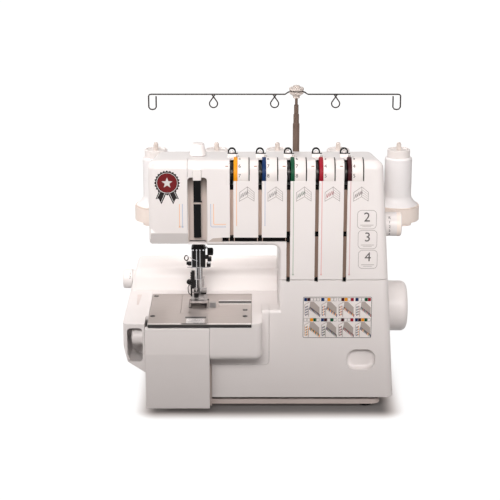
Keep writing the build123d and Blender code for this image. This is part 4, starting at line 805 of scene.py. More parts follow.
def rim_place(box: Box, along: float, turn: float) -> Placer:
    """Place of figures on the rim of a drum about X, `turn` degrees up from its front.

    Args:
        box: the drum's box.
        along: x of the figures' middle.
        turn: degrees up from the front.

    Returns:
        The function that places a point of the figures.
    """
    radius = box.size.z / 2
    centre = box.centre

    def placed(across: float, up: float, out: float) -> Vector:
        """Point (across, up, out) of the figures, wrapped round the rim."""
        angle = math.radians(turn) + up / radius
        reach = radius + out
        y = centre.y - reach * math.cos(angle)
        return Vector((along + across, y, centre.z + reach * math.sin(angle)))
    return placed


def dress_nodes() -> None:
    """Give every CAD node the finish of its slot."""
    for entry in frame["record"]["subparts"]:
        node = frame["nodes"][entry["node"]]
        finish = NODE_FINISH.get(entry["node"], SLOT_FINISH[entry["material_slot"]])
        node.data.materials.clear()
        node.data.materials.append(finish.material())
    LOG.info("dressed %d nodes", len(frame["nodes"]))


@dataclass(frozen=True)
class Slot:
    """One thread slot, placed from its tension dial."""

    thread: Thread
    x: float
    dial: Box
    foot: float

    @property
    def number(self) -> int:
        """Number of the unit, from the left."""
        return self.thread.value


def thread_slots(step: float = 2.3, arm_foot: float = 204.5, column_foot: float = 160.0) -> list[Slot]:
    """The five slots.

    Args:
        step: from the slot's middle to its dial's left side.
        arm_foot: lower end of the two slots in the arm.
        column_foot: lower end of the three slots in the column.

    Returns:
        The slots from left to right.
    """
    found = []
    for thread in Thread:
        dial = DATUM.box(f"tension_dial_{thread.value}")
        foot = arm_foot if thread.in_arm else column_foot
        found.append(Slot(thread, dial.lo.x - step, dial, foot))
    return found


@dataclass
class TensionUnits:
    """Five thumb drums with coloured collars and figures, and the liners of their slots in painted shade."""

    slots: list[Slot]
    bore: float = 3.1
    collar: float = 4.0
    groove: float = 0.4
    groove_depth: float = 0.6
    chamfer: float = 0.3
    end_gap: float = 0.8
    hub_gap: float = 0.02
    hub_inset: float = 0.5
    figure_count: int = 10
    figure_height: float = 4.2
    figure_step: float = 36.0
    figure_offset: float = 2.3
    liner_half: float = 2.6
    liner_wall: float = 0.6
    liner_back: float = 8.5
    dark_below: float = 262.9
    dark_top: float = 268.5
    break_low: float = 208.4
    break_high: float = 214.3

    shown = {Thread.ORANGE: 6, Thread.BLUE: 7, Thread.GREEN: 7, Thread.RED: 4, Thread.MAROON: 4}

    def build(self) -> None:
        """Make every unit."""
        for slot in self.slots:
            self.drum(slot)
            self.figures(slot)
            self.liner(slot)

    def drum(self, slot: Slot) -> None:
        """White drum with a dished end, a black disc of painted shade in the gap at its end, and its coloured
        collar.
        """
        box = slot.dial
        radius = box.size.z / 2
        edge = radius - self.chamfer
        centre = (box.centre.y, box.centre.z)
        body = f"dial_{slot.number}"
        start = box.lo.x + self.collar + self.groove
        end = box.hi.x - self.end_gap
        profile = [(start, self.bore), (start, edge), (start + self.chamfer, radius), (end - 1.0, radius),
                   (end - self.chamfer, edge), (end, radius - 0.8), (end, radius - 2.4),
                   (end - 1.2, radius - 3.0), (end - 1.2, self.bore)]
        drum = Shape().lathe(profile, Axis.X, centre, 120, True)
        made = drum.piece(f"tension_drum_{slot.number}", body, "dial_white", DIAL_WHITE)
        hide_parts(f"tension_dial_{slot.number}")
        left = box.lo.x
        right = left + self.collar
        step = right + self.groove
        ring = [(left, self.bore), (left, edge), (left + self.chamfer, radius),
                (right - self.chamfer, radius), (right, edge), (step, radius - self.groove_depth),
                (step, self.bore)]
        collar = Shape().lathe(ring, Axis.X, centre, 96, True)
        collar.piece(f"tension_collar_{slot.number}", body, "dial_white", COLLARS[slot.thread])
        # Black disc in the end gap: painted shade of the gap beside the drum.
        hub = straight(end + self.hub_gap, box.hi.x, radius - self.hub_inset, self.bore)
        disc = Shape().lathe(hub, Axis.X, centre, 96, True)
        disc.piece(f"tension_gap_shade_{slot.number}", body, "dial_white", SHADE_BLACK)

    def figures(self, slot: Slot) -> None:
        """Figures 0 to 9 round the drum, the set one in view."""
        along = slot.dial.lo.x + self.collar + self.groove + self.figure_offset
        marks = Shape()
        for figure in range(self.figure_count):
            turn = (self.shown[slot.thread] + 1 - figure) * self.figure_step
            marks.text(str(figure), self.figure_height, rim_place(slot.dial, along, turn))
        marks.piece(f"tension_figures_{slot.number}", f"dial_{slot.number}", "dial_white", INK_DARK)

    def liner(self, slot: Slot) -> None:
        """Trough behind the slot, coloured as painted shade: black near the discs, tan or brown below."""
        spans = [("dark", self.dark_below, self.dark_top, SHADE_BLACK)]
        if slot.thread.in_arm:
            spans.append(("low", slot.foot, self.dark_below, SLOT_SHADE_TAN))
        else:
            spans.append(("low", self.break_high, self.dark_below, SLOT_SHADE_BROWN))
            spans.append(("break", self.break_low, self.break_high, SHADE_BLACK))
            spans.append(("foot", slot.foot, self.break_low, SLOT_SHADE_BROWN))
        out = self.liner_half + self.liner_wall
        outline = trough(slot.x - out, slot.x + out, self.liner_back + self.liner_wall, self.liner_wall)
        for label, low, high, finish in spans:
            liner = Shape().prism(outline, Axis.Z, low, high)
            liner.piece(f"slot_shade_liner_{label}_{slot.number}", "body", "white_cover", finish)


@dataclass
class ThreadChannel:
    """Black glossy strip on the channel's rib, its pin, its white cap and corners, and the slit's liner and
    run-in in painted shade.
    """

    strip_half: float = 4.15
    strip_low: float = 209.6
    lower_top: float = 248.3
    upper_low: float = 251.4
    strip_high: float = 275.6
    strip_proud: float = 0.7
    strip_back: float = 1.6
    pin_radius: float = 0.8
    pin_over: float = 1.2
    pin_chamfer: float = 0.4
    pin_y: float = -0.3
    cap_over: float = 0.48
    cap_gap: float = 0.5
    cap_proud: float = 0.25
    cap_rise: float = 0.2
    corner: float = 4.0
    corner_over: float = 0.3
    corner_back: float = 2.2
    channel_top: float = 279.0
    slit_left: float = -31.1
    slit_right: float = 44.6
    slit_low: float = 203.6
    slit_high: float = 210.4
    slit_depth: float = 7.5
    slit_wall: float = 0.8
    run_in_gap: float = 0.2
    run_in_low: float = 204.6
    run_in_high: Point2 = (208.6, 209.4)
    run_in_left: Point2 = (-47.2, -42.0)

    def build(self) -> None:
        """Make the strip, the pin, the cap, the corners and the slit's liner."""
        rib = DATUM.box("channel_cover")
        left = rib.centre.x - self.strip_half
        right = rib.centre.x + self.strip_half
        strip = Shape()
        for low, high in ((self.strip_low, self.lower_top), (self.upper_low, self.strip_high)):
            strip.block((left, -self.strip_proud, low), (right, self.strip_back, high), 0.3)
        strip.piece("channel_strip", "body", "black_plastic", BLACK_GLOSS)
        end = right + self.pin_over
        profile = [(left, 0.0), (left, self.pin_radius), (end - self.pin_chamfer, self.pin_radius),
                   (end, self.pin_radius - self.pin_chamfer), (end, 0.0)]
        pin = Shape().lathe(profile, Axis.X, (self.pin_y, self.upper_low), 20)
        pin.piece("channel_pin", "body", "black_plastic", BLACK_GLOSS)
        over = self.cap_over
        cap = Shape().block((left - over, rib.lo.y - self.cap_proud, self.strip_high + self.cap_gap),
                            (right + over, rib.lo.y + self.strip_back, rib.hi.z + self.cap_rise), 0.6)
        cap.piece("channel_cap", "body", "white_cover", DIAL_WHITE)
        self.corners(rib)
        self.slit()

    def corners(self, rib: Box) -> None:
        """White fillets that round the channel's two upper corners."""
        radius = self.corner
        top = self.channel_top
        shape = Shape()
        for edge, sign in ((rib.lo.x - self.corner_over, 1.0), (rib.hi.x + self.corner_over, -1.0)):
            bend = arc((edge + sign * radius, top - radius), radius, 180.0 if sign > 0 else 0.0, 90.0, 10)
            shape.prism([(edge, top + 0.1), *bend], Axis.Y, INK_DEPTH, self.corner_back)
        shape.piece("channel_corners", "body", "white_cover", WHITE)

    def slit(self) -> None:
        """Trough behind the slit in black painted shade, and the shallow run-in at its left as a flat tan
        patch of painted shade.
        """
        outline = trough(self.slit_low, self.slit_high, self.slit_depth, self.slit_wall)
        liner = Shape().prism([(depth, z) for z, depth in outline], Axis.X, self.slit_left, self.slit_right)
        liner.piece("slit_shade_liner", "body", "white_cover", SHADE_BLACK)
        left, bend = self.run_in_left
        low = self.run_in_low
        high, top = self.run_in_high
        right = self.slit_left - self.run_in_gap
        patch = front_print(Shape(), [(left, low), (right, low), (right, top), (bend, high)])
        patch.piece("slit_run_in_shade", "body", "white_cover", RUN_IN_PAINTED_SHADE)


@dataclass
class FrontPrints:
    """Thread lines, index marks, stitch pictures, figure boxes and the badge on the front."""

    slots: list[Slot]
    line_width: float = 0.9
    line_offset: float = 5.5
    line_top: float = 275.0
    arm_line_foot: float = 223.0
    column_line_foot: float = 166.0
    dot_radius: float = 1.1
    dash_left: float = 6.9
    dash_right: float = 3.6
    dash_half: float = 0.4
    dash_z: float = 291.7
    dash_depth: float = 0.75
    guide_top: float = 248.6
    guide_foot: float = 222.0
    guide_end: float = -27.0
    picture_low: float = 248.8
    picture_left: float = 8.2
    picture_line: float = 0.45
    picture_thin: float = 0.3
    box_centres: tuple[Point2, ...] = ((131.3, 230.5), (132.4, 207.2), (133.2, 183.9))
    box_size: Point2 = (21.2, 21.6)
    box_corner: float = 4.5
    box_figure: float = 11.0
    box_figure_rise: float = 2.4
    badge_x: float = -92.5
    badge_z: float = 272.8
    badge_radius: float = 14.5
    badge_teeth: int = 24
    badge_notch: float = 1.6
    badge_field: float = 11.0
    badge_ring: float = 11.6
    badge_star: Point2 = (6.4, 2.7)
    star_points: int = 5
    ring_width: float = 0.6
    tail_line: float = 0.5
    tail_proud: float = 0.1
    tail_line_proud: float = 0.15
    field_proud: float = 0.16
    ring_proud: float = 0.18
    star_proud: float = 0.2

    guides = {Thread.ORANGE: (-79.0, (-39.4, 226.4), 1.4), Thread.BLUE: (-75.7, (-42.0, 224.0), 2.0)}
    box_dashes = ((7.4, 6.4, 0.55), (5.0, 8.2, 0.4))
    tail = ((1.0, -9.0), (9.0, -9.0), (13.0, -18.5), (9.6, -18.0), (6.6, -24.5), (0.9, -12.0))
    tail_lines = (((7.6, -9.6), (11.6, -18.0)), ((2.6, -12.0), (7.0, -22.0)))

    def build(self) -> None:
        """Make every print."""
        self.thread_lines()
        self.index_marks()
        self.arm_lines()
        for slot in self.slots:
            self.picture(slot)
        self.figure_boxes()
        self.badge()

    def dot(self, shape: Shape, centre: Point2) -> None:
        """Round dot at the end of a line."""
        front_print(shape, arc(centre, self.dot_radius, 0, 345, 23))

    def thread_lines(self) -> None:
        """One coloured line beside each slot, with a dot where it ends in the column."""
        for slot in self.slots:
            x = slot.x + self.line_offset
            foot = self.arm_line_foot if slot.thread.in_arm else self.column_line_foot
            line = Shape()
            front_stroke(line, [(x, self.line_top), (x, foot)], self.line_width)
            if not slot.thread.in_arm:
                self.dot(line, (x, foot))
            line.piece(f"thread_line_{slot.number}", "body", "white_cover", LINES[slot.thread])

    def index_marks(self) -> None:
        """Short dash beside each drum."""
        marks = Shape()
        for slot in self.slots:
            marks.block((slot.x - self.dash_left, self.dash_depth - 0.3, self.dash_z - self.dash_half),
                        (slot.x - self.dash_right, self.dash_depth + 0.6, self.dash_z + self.dash_half))
        marks.piece("index_marks", "body", "white_cover", INK_BROWN)

    def arm_lines(self) -> None:
        """Needle-thread lines on both sides of the channel: a straight one with a dot, and a bent one."""
        for thread, (x, bend, radius) in self.guides.items():
            line = Shape()
            front_stroke(line, [(x, self.guide_top), (x, self.guide_foot)], self.line_width)
            self.dot(line, (x, self.guide_foot))
            bent = [(bend[0] - radius, self.guide_top), *arc(bend, radius, 180, 270, 4),
                    (self.guide_end, bend[1] - radius)]
            front_stroke(line, bent, self.line_width)
            line.piece(f"needle_line_{thread.value}", "body", "white_cover", LINES[thread])

    def picture(self, slot: Slot) -> None:
        """Stitch picture: two thin-lined sheets that meet at a fold, with thread loops on one of them."""
        left = slot.x + self.picture_left
        low = self.picture_low

        def at(x: float, z: float) -> Point2:
            """Point of the picture."""
            return (left + x, low + z)

        wide = self.picture_line
        lines = Shape()
        front_stroke(lines, [at(0.5, 3.0), at(9.5, 8.2), at(9.5, 19.6), at(0.5, 13.0)], wide, True)
        front_stroke(lines, [at(9.5, 8.2), at(17.0, 3.2), at(17.0, 13.4), at(9.5, 19.6)], wide)
        for step in range(1, 4):
            fold = [at(9.5, 8.2 + 2.8 * step), at(17.0, 3.2 + 2.5 * step)]
            front_stroke(lines, fold, self.picture_thin)
        lines.piece(f"picture_lines_{slot.number}", "body", "white_cover", INK_GREY)
        loops = Shape()
        for i in range(5):
            x = 1.6 + 1.75 * i
            z = 6.1 + 1.12 * i
            front_stroke(loops, [at(x, z), at(x + 0.9, z + 5.2), at(x + 1.75, z + 1.1)], wide)
        finish = INK_SOFT if slot.thread.in_arm else COLLARS[slot.thread]
        loops.piece(f"picture_loops_{slot.number}", "body", "white_cover", finish)

    def figure_boxes(self) -> None:
        """Three rounded boxes with figures at the right."""
        outline = Shape()
        figures = Shape()
        dashes = Shape()
        for number, (x, z) in enumerate(self.box_centres, 2):
            front_stroke(outline, rounded((x, z), *self.box_size, self.box_corner), self.picture_line, True)
            figures.text(str(number), self.box_figure, front_place(x, z + self.box_figure_rise))
            for half, drop, width in self.box_dashes:
                front_stroke(dashes, [(x - half, z - drop), (x + half, z - drop)], width)
        outline.piece("figure_boxes", "body", "white_cover", INK_GREY)
        figures.piece("figure_box_figures", "body", "white_cover", INK_SOFT)
        dashes.piece("figure_box_dashes", "body", "white_cover", INK_GREY)

    def badge(self) -> None:
        """Scalloped rosette with two tails and a star."""
        x, z = centre = (self.badge_x, self.badge_z)
        rim = []
        for i in range(self.badge_teeth * 2):
            reach = self.badge_radius if i % 2 == 0 else self.badge_radius - self.badge_notch
            turn = math.pi * i / self.badge_teeth
            rim.append((x + reach * math.cos(turn), z + reach * math.sin(turn)))
        star = []
        for i, reach in enumerate(self.badge_star * self.star_points):
            turn = math.pi * i / self.star_points
            star.append((x + reach * math.sin(turn), z + reach * math.cos(turn)))
        dark = front_print(Shape(), rim)
        field = front_print(Shape(), arc(centre, self.badge_field, 0, 350, 35), self.field_proud)
        ring = arc(centre, self.badge_ring, 0, 350, 35)
        silver = front_stroke(Shape(), ring, self.ring_width, True, self.ring_proud)
        front_print(silver, star, self.star_proud)
        for side in (-1, 1):
            front_print(dark, [(x + side * dx, z + dz) for dx, dz in self.tail], self.tail_proud)
            for line in self.tail_lines:
                points = [(x + side * dx, z + dz) for dx, dz in line]
                front_stroke(silver, points, self.tail_line, proud=self.tail_line_proud)
        dark.piece("badge_rosette", "body", "white_cover", BADGE_DARK)
        field.piece("badge_field", "body", "white_cover", BADGE_RED)
        silver.piece("badge_silver", "body", "white_cover", BADGE_SILVER)


@dataclass
class StitchChart:
    """Colour chart of stitches on the looper cover: two rows of four cells in a thin outline."""

    left: float = 60.8
    right: float = 138.8
    low: float = 90.0
    high: float = 139.0
    columns: int = 4
    rows: int = 2
    corner: float = 1.5
    strip: float = 4.0
    margin: float = 0.9
    strip_margin: float = 0.8
    swatch_gap: float = 2.4
    edge: float = 0.55
    square_edge: float = 0.25
    square_corner: float = 0.2
    line: float = 0.75
    thin: float = 0.7
    stitches: int = 9
    ground_proud: float = 0.04
    stitch_proud: float = 0.17

    tones = [COLLARS[Thread.BLUE], COLLARS[Thread.MAROON], COLLARS[Thread.ORANGE], COLLARS[Thread.GREEN],
             COLLARS[Thread.RED]]
    filled = ["01...", "0.2..", ".12.4", "0..34", "..23.", "01.3.", ".1..4", "0123."]

    def build(self) -> None:
        """Make the outline and every cell."""
        middle = ((self.left + self.right) / 2, (self.low + self.high) / 2)
        width = self.right - self.left
        height = self.high - self.low
        outline = rounded(middle, width, height, self.corner)
        ground = front_print(Shape(), outline, self.ground_proud)
        ground.piece("chart_ground", "looper_cover", "white_cover", INK_PANEL)
        edges = front_stroke(Shape(), outline, self.edge, True)
        coloured = [Shape() for _ in self.tones]
        cloth = Shape()
        cell_width = width / self.columns
        cell_height = height / self.rows
        for row in range(self.rows):
            for column in range(self.columns):
                corner = (self.left + cell_width * column, self.high - cell_height * row)
                number = row * self.columns + column
                self.squares(coloured, edges, corner, cell_width, number)
                self.swatch(cloth, coloured, corner, cell_width, cell_height, number)
        for index, finish in enumerate(self.tones):
            coloured[index].piece(f"chart_colour_{index + 1}", "looper_cover", "white_cover", finish)
        edges.piece("chart_edges", "looper_cover", "white_cover", INK_SOFT)
        cloth.piece("chart_cloth", "looper_cover", "white_cover", INK_CLOTH)

    def squares(self, coloured: list[Shape], edges: Shape, corner: Point2, width: float, number: int) -> None:
        """Strip of five squares at the top of a cell, some of them filled.

        Args:
            coloured: one shape for each colour.
            edges: shape of the thin edges.
            corner: the cell's top left corner.
            width: the cell's width.
            number: the cell's number, which picks the colours.
        """
        side = (width - 2 * self.strip_margin) / len(self.tones)
        x = corner[0] + self.strip_margin
        top = corner[1] - self.margin
        for index, mark in enumerate(self.filled[number]):
            middle = (x + side * (index + 0.5), top - self.strip / 2)
            if mark == ".":
                square = rounded(middle, side - 0.5, self.strip - 0.5, self.square_corner, 2)
                front_stroke(edges, square, self.square_edge, True)
            else:
                square = rounded(middle, side - 0.2, self.strip, self.square_corner, 2)
                front_print(coloured[int(mark)], square)

    def swatch(self, cloth: Shape, coloured: list[Shape], corner: Point2, width: float, height: float,
               number: int) -> None:
        """Folded cloth with a row of stitches on its edge and lines of thread on its side.

        Args:
            cloth: shape of the cloth.
            coloured: one shape for each colour.
            corner: the cell's top left corner.
            width: the cell's width.
            height: the cell's height.
            number: the cell's number, which picks the colours.
        """
        left = corner[0] + self.margin
        low = corner[1] - height + self.margin
        wide = width - 2 * self.margin
        tall = height - self.strip - self.swatch_gap

        def at(x: float, z: float) -> Point2:
            """Point of the swatch from shares of its width and height."""
            return (left + x * wide, low + z * tall)

        front_print(cloth, [at(0.40, 1.0), at(0.34, 0.55), at(1.0, 0.06), at(1.0, 0.62), at(0.62, 1.0)])
        front_stroke(cloth, [at(0.30, 0.60), at(0.30, 0.0)], self.line)
        front_stroke(cloth, [at(0.04, 0.80), at(0.04, 0.12)], self.line * self.thin)
        front_stroke(cloth, [at(0.04, 0.80), at(0.40, 1.0)], self.line * self.thin)
        picks = [int(mark) for mark in self.filled[number] if mark != "."]
        first = Vector(at(0.36, 0.50))
        last = Vector(at(1.0, 0.02))
        for index in range(self.stitches):
            spot = first.lerp(last, index / (self.stitches - 1))
            shape = coloured[picks[index % len(picks)]]
            stitch = [(spot.x, spot.y - 0.6), (spot.x + 0.5, spot.y + 2.6)]
            front_stroke(shape, stitch, self.line, proud=self.stitch_proud)
        front_stroke(coloured[picks[0]], [at(0.36, 0.66), at(0.98, 0.18)], self.line * self.thin)
        for lane in range(3):
            shape = coloured[picks[lane % len(picks)]]
            x = 0.10 + 0.07 * lane
            for dash in range(4):
                foot = 0.06 + 0.17 * dash + 0.03 * lane
                front_stroke(shape, [at(x, foot), at(x, foot + 0.10)], self.line)


@dataclass
class PlateDetails:
    """Lip, edge lines, groove, tongue and mark of the cloth plates and the bed: the lip, groove and recess in
    painted shade, the edge lines as painted highlights.
    """

    skin: float = 0.12
    bite: float = 0.2
    edge: float = 0.4
    lip_low: float = 4.2
    lip_high: float = 0.7
    line_depth: float = 2.4
    groove_y: float = 48.8
    groove_width: float = 9.0
    groove_left: float = -37.0
    tongue_place: Point2 = (-62.0, 11.0)
    tongue_size: Point2 = (21.0, 17.0)
    tongue_corner: float = 2.0
    recess_x: Point2 = (-74.0, -50.0)
    recess_y: Point2 = (20.6, 26.0)
    mark_thickness: float = 0.1

    mark = ((-134.6, 82.0), (-129.2, 82.0), (-130.6, 44.0), (-132.8, 44.0))

    def build(self) -> None:
        """Make the plates' details."""
        left_plate = DATUM.box("cloth_plate")
        right_plate = DATUM.box("needle_plate")
        top = right_plate.hi.z
        low = top - self.bite
        front = left_plate.lo.y
        right = right_plate.hi.x - self.edge
        # Painted shade on the plates' front face.
        lip = Shape().block((left_plate.lo.x + self.edge, front - self.bite, top - self.lip_low),
                            (right, front + self.bite, top - self.lip_high))
        lip.piece("plate_lip_shade", "body", "plate_steel", DARK_STEEL)
        back = self.groove_y + self.groove_width
        spans = [
            (left_plate.lo.x + 0.5, left_plate.hi.x - 0.5, front + self.bite, front + self.line_depth),
            (right_plate.lo.x + 2.0, right, front + self.bite, front + self.line_depth),
            (self.groove_left, right, self.groove_y - 2.6, self.groove_y - 0.4),
            (self.groove_left, right, back + 0.3, back + 3.6),
        ]
        # Painted highlights along the plates' front edges and beside the groove.
        edge_highlights = Shape()
        for first, last, near, far in spans:
            edge_highlights.block((first, near, low), (last, far, top + self.skin))
        edge_highlights.piece("plate_edge_highlights", "body", "plate_steel", BRIGHT_STEEL)
        # Painted shade in the groove, as a flat dark strip.
        groove = Shape().block((self.groove_left, self.groove_y, low), (right, back, top + self.skin * 0.5))
        groove.piece("plate_groove_shade", "body", "plate_steel", DARK_STEEL)
        self.tongue(top, front)
        mark = Shape().prism(self.mark, Axis.Z, top - self.mark_thickness, top + self.mark_thickness)
        mark.piece("bed_mark", "body", "white_cover", MARK_FAINT)

    def tongue(self, top: float, front: float) -> None:
        """Stitch tongue at the front of the plates, with a flat dark patch of painted shade for the recess
        behind it.
        """
        x, step = self.tongue_place
        outline = rounded((x, front + step), *self.tongue_size, self.tongue_corner)
        tongue = Shape().prism(outline, Axis.Z, top - self.bite, top + self.skin * 1.6)
        tongue.piece("plate_tongue", "body", "plate_steel", BRIGHT_STEEL)
        near, far = self.recess_y
        recess = Shape().block((self.recess_x[0], front + near, top - self.bite),
                               (self.recess_x[1], front + far, top + self.skin * 0.5))
        recess.piece("plate_recess_shade", "body", "plate_steel", DARK_STEEL)


@dataclass
class NeedleHead:
    """Needle clamp fittings, thread wires, the foot's fittings and the presser rack."""

    screw_radius: float = 4.3
    screw_length: float = 6.6
    knurls: int = 22
    knurl_height: float = 0.25
    cap_radius: float = 1.7
    eye_radius: float = 0.9
    eye_count: int = 4
    eye_pitch: float = 4.0
    wire: float = 0.5
    ring_wire: float = 0.65
    cross_wire: float = 0.55
    teeth: int = 7
    tooth_pitch: float = 2.8
    rack_y: Point2 = (58.2, 61.4)
    rack_stem_y: Point2 = (59.0, 61.0)
    rack_plate_y: Point2 = (59.2, 60.4)
    spring_y: Point2 = (56.6, 60.2)
    guide_y: Point2 = (53.4, 60.4)
    under_y: Point2 = (53.8, 60.0)

    knob = ((55.2, 0.0), (55.2, 2.2), (55.9, 2.9), (58.8, 2.9), (58.8, 0.0))
    hinge_screw = ((57.6, 0.0), (57.6, 1.7), (58.2, 2.2), (60.2, 2.2), (60.2, 0.0))

    def build(self) -> None:
        """Make the fittings of the needle bar and of the foot."""
        clamp = DATUM.box("needle_clamp")
        self.clamp_screws(clamp)
        self.clamp_blocks(clamp)
        self.thread_wires(clamp)
        self.rack()
        self.foot_fittings()

    def clamp_screws(self, clamp: Box) -> None:
        """Knurled black clamp screw at the right with a chrome face, and a small chrome cap above it."""
        def knurled(along: float, angle: float) -> float:
            """Ridge height of the knurl."""
            return self.knurl_height * math.cos(self.knurls * angle)

        start = clamp.hi.x - 1.5
        end = start + self.screw_length
        radius = self.screw_radius
        centre = (clamp.lo.y + 4.6, clamp.hi.z - 9.5)
        profile = [(start, 0.0), (start, radius - 0.6), (start + 0.6, radius), (end - 0.8, radius),
                   (end, radius - 0.8), (end, 0.0)]
        screw = Shape().lathe(profile, Axis.X, centre, self.knurls * 6, False, knurled)
        screw.piece("needle_screw", "needle_unit", "black_metal", BLACK_METAL)
        face = [(end - 0.4, 0.0), (end - 0.4, radius - 1.6), (end + 0.4, radius - 1.9), (end + 0.4, 0.0)]
        shine = Shape().lathe(face, Axis.X, centre, 32)
        top = clamp.hi.z
        cap = [(top - 5.4, 0.0), (top - 5.4, self.cap_radius), (top - 3.6, self.cap_radius), (top - 2.8, 1.0),
               (top - 2.8, 0.0)]
        shine.lathe(cap, Axis.Z, (clamp.hi.x - 2.6, clamp.lo.y + 2.2), 24)
        shine.piece("needle_screw_face", "needle_unit", "bright_chrome", CHROME)

    def clamp_blocks(self, clamp: Box) -> None:
        """Small thread guides on both sides of the clamp."""
        low = clamp.lo.z
        left = clamp.lo.x
        right = clamp.hi.x
        front = clamp.lo.y
        black = Shape()
        black.block((right - 1.5, front + 1.0, low + 7.4), (right + 3.2, front + 8.0, low + 12.0), 0.6)
        black.block((right - 2.5, front + 1.0, low + 0.6), (right + 2.2, front + 8.0, low + 4.8), 0.6)
        black.block((left - 1.8, front - 0.5, low + 3.6), (left + 2.0, front + 3.5, low + 7.2), 0.6)
        turns = [math.radians(20 * i) for i in range(19)]
        ring = [(left - 1.9 + 2.2 * math.cos(t), front + 1.5, low + 11.6 + 3.0 * math.sin(t)) for t in turns]
        black.tube(ring, self.ring_wire)
        black.piece("needle_guides", "needle_unit", "black_metal", BLACK_METAL)
        band = Shape()
        band.block((right - 1.2, front + 1.6, low + 4.6), (right + 2.0, front + 7.4, low + 7.6), 0.4)
        band.piece("needle_guide_band", "needle_unit", "bright_chrome", CHROME)
        eyes = Shape()
        for index in range(self.eye_count):
            centre = (left + 6.0 + self.eye_pitch * index, clamp.hi.z - 6.5)
            eyes.lathe(straight(front - 0.15, front + 0.4, self.eye_radius), Axis.Y, centre, 16)
        eyes.piece("needle_guide_holes", "needle_unit", "bright_chrome", CHROME)

    def thread_wires(self, clamp: Box) -> None:
        """Bent wire guides on the clamp's front."""
        front = clamp.lo.y - 0.6
        low = clamp.lo.z
        left = clamp.lo.x
        wires = Shape()
        wires.tube([(left - 1.2, front + 1.2, low + 14.6), (left + 0.5, front, low + 13.8),
                    (left + 6.0, front - 0.2, low + 10.6), (left + 11.0, front, low + 8.6),
                    (left + 12.0, front + 1.4, low + 8.0)], self.wire)
        for x in (left + 4.4, left + 10.0, left + 14.0):
            wires.tube([(x, front + 0.8, low + 22.0), (x, front, low + 20.0), (x, front, low + 2.0),
                        (x, front + 1.0, low - 0.4)], self.wire)
        cross = [(left - 1.2, front + 1.0, low + 0.6), (clamp.hi.x + 0.4, front + 1.0, low + 0.6)]
        wires.tube(cross, self.cross_wire)
        wires.piece("needle_thread_wires", "needle_unit", "bright_chrome", CHROME)

    def rack(self) -> None:
        """Toothed guide with a small knob and a wire loop beside the presser bar."""
        foot = DATUM.box("presser_foot")
        left = foot.lo.x - 0.6
        low = foot.lo.z + 14.8
        high = foot.lo.z + 36.6
        right = left + 5.2
        outline = [(right, low), (right, high), (left + 1.4, high)]
        for tooth in range(self.teeth):
            z = high - 1.6 - self.tooth_pitch * tooth
            outline += [(left + 1.6, z), (left + 0.1, z - 0.6), (left + 0.1, z - 1.6)]
        outline.append((left + 1.8, low))
        middle = foot.centre.x
        near, far = self.rack_stem_y
        black = Shape().prism(outline, Axis.Y, *self.rack_y)
        black.block((left + 0.2, near, foot.lo.z + 5.0), (left + 2.0, far, low + 1.0), 0.3)
        near, far = self.rack_plate_y
        black.block((middle - 6.2, near, foot.lo.z + 3.2), (middle - 0.6, far, foot.hi.z - 0.6), 0.3)
        black.piece("presser_rack", "presser_unit", "black_metal", BLACK_METAL)
        knob = Shape().lathe(self.knob, Axis.Y, (left - 1.4, foot.lo.z + 23.6), 28)
        knob.piece("presser_rack_knob", "presser_unit", "black_metal", BLACK_METAL)
        loop = [(left + 0.6, 59.6, low + 4.6), (left - 1.8, 58.6, low + 4.2), (left - 2.7, 58.2, low + 1.6),
                (left - 2.6, 58.2, low - 3.4), (left - 1.4, 58.6, low - 6.4), (left + 0.7, 59.6, low - 7.6)]
        Shape().tube(loop, self.wire).piece("presser_loop", "presser_unit", "black_metal", BLACK_METAL)

    def foot_fittings(self) -> None:
        """Hinge screw, spring plate and side guide of the presser foot."""
        foot = DATUM.box("presser_foot")
        middle = foot.centre.x
        low = foot.lo.z
        shine = Shape().lathe(self.hinge_screw, Axis.Y, (middle - 3.6, low + 14.2), 24)
        near, far = self.spring_y
        shine.block((middle - 8.4, near, low + 9.6), (middle - 0.4, far, low + 10.8), 0.3)
        near, far = self.guide_y
        shine.block((middle + 1.6, near, low + 11.4), (middle + 9.0, far, low + 15.6), 0.6)
        shine.piece("foot_fittings", "presser_unit", "bright_chrome", FOOT_STEEL)
        near, far = self.under_y
        under = Shape().block((middle + 1.8, near, low + 9.4), (middle + 8.6, far, low + 11.5), 0.3)
        under.piece("foot_guide_under", "presser_unit", "black_metal", BLACK_METAL)


@dataclass
class Screws:
    """Slotted screws in the cloth plates and the rear cover."""

    slot_share: float = 0.22
    slot_depth: float = 0.7
    first_tilt: float = 35.0
    tilt_step: float = 47.0
    back_half: float = 60.0

    def build(self) -> None:
        """Replace the plain screws by slotted ones."""
        heads = Shape()
        for index, box in enumerate(DATUM.islands("screws")):
            self.head(heads, box, index)
        made = heads.piece("slotted_screws", "body", "bright_chrome", DARK_STEEL, 30.0)
        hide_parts("screws")

    def head(self, heads: Shape, box: Box, index: int) -> None:
        """One screw: a shank below two half discs that leave the slot open.

        Args:
            heads: shape to add to.
            box: the plain screw's box.
            index: its number, which turns the slot.
        """
        sizes = list(box.size)
        spans = [abs(sizes[1] - sizes[2]), abs(sizes[0] - sizes[2]), abs(sizes[0] - sizes[1])]
        axis = list(Axis)[spans.index(min(spans))]
        across = [i for i in range(3) if i != axis.value]
        centre = (box.centre[across[0]], box.centre[across[1]])
        radius = sizes[across[0]] / 2
        out = 1 if axis is Axis.Z or box.centre[axis.value] > self.back_half else -1
        face = box.hi[axis.value] if out > 0 else box.lo[axis.value]
        root = box.lo[axis.value] if out > 0 else box.hi[axis.value]
        floor = face - out * min(self.slot_depth, abs(face - root) / 2)
        heads.lathe(straight(root, floor, radius), axis, centre, 32)
        tilt = self.first_tilt + self.tilt_step * index
        half = math.degrees(math.asin(self.slot_share))
        for side in (0.0, 180.0):
            outline = arc(centre, radius, tilt + side + half, tilt + side + 180.0 - half, 14)
            heads.prism(outline, axis, floor, face)


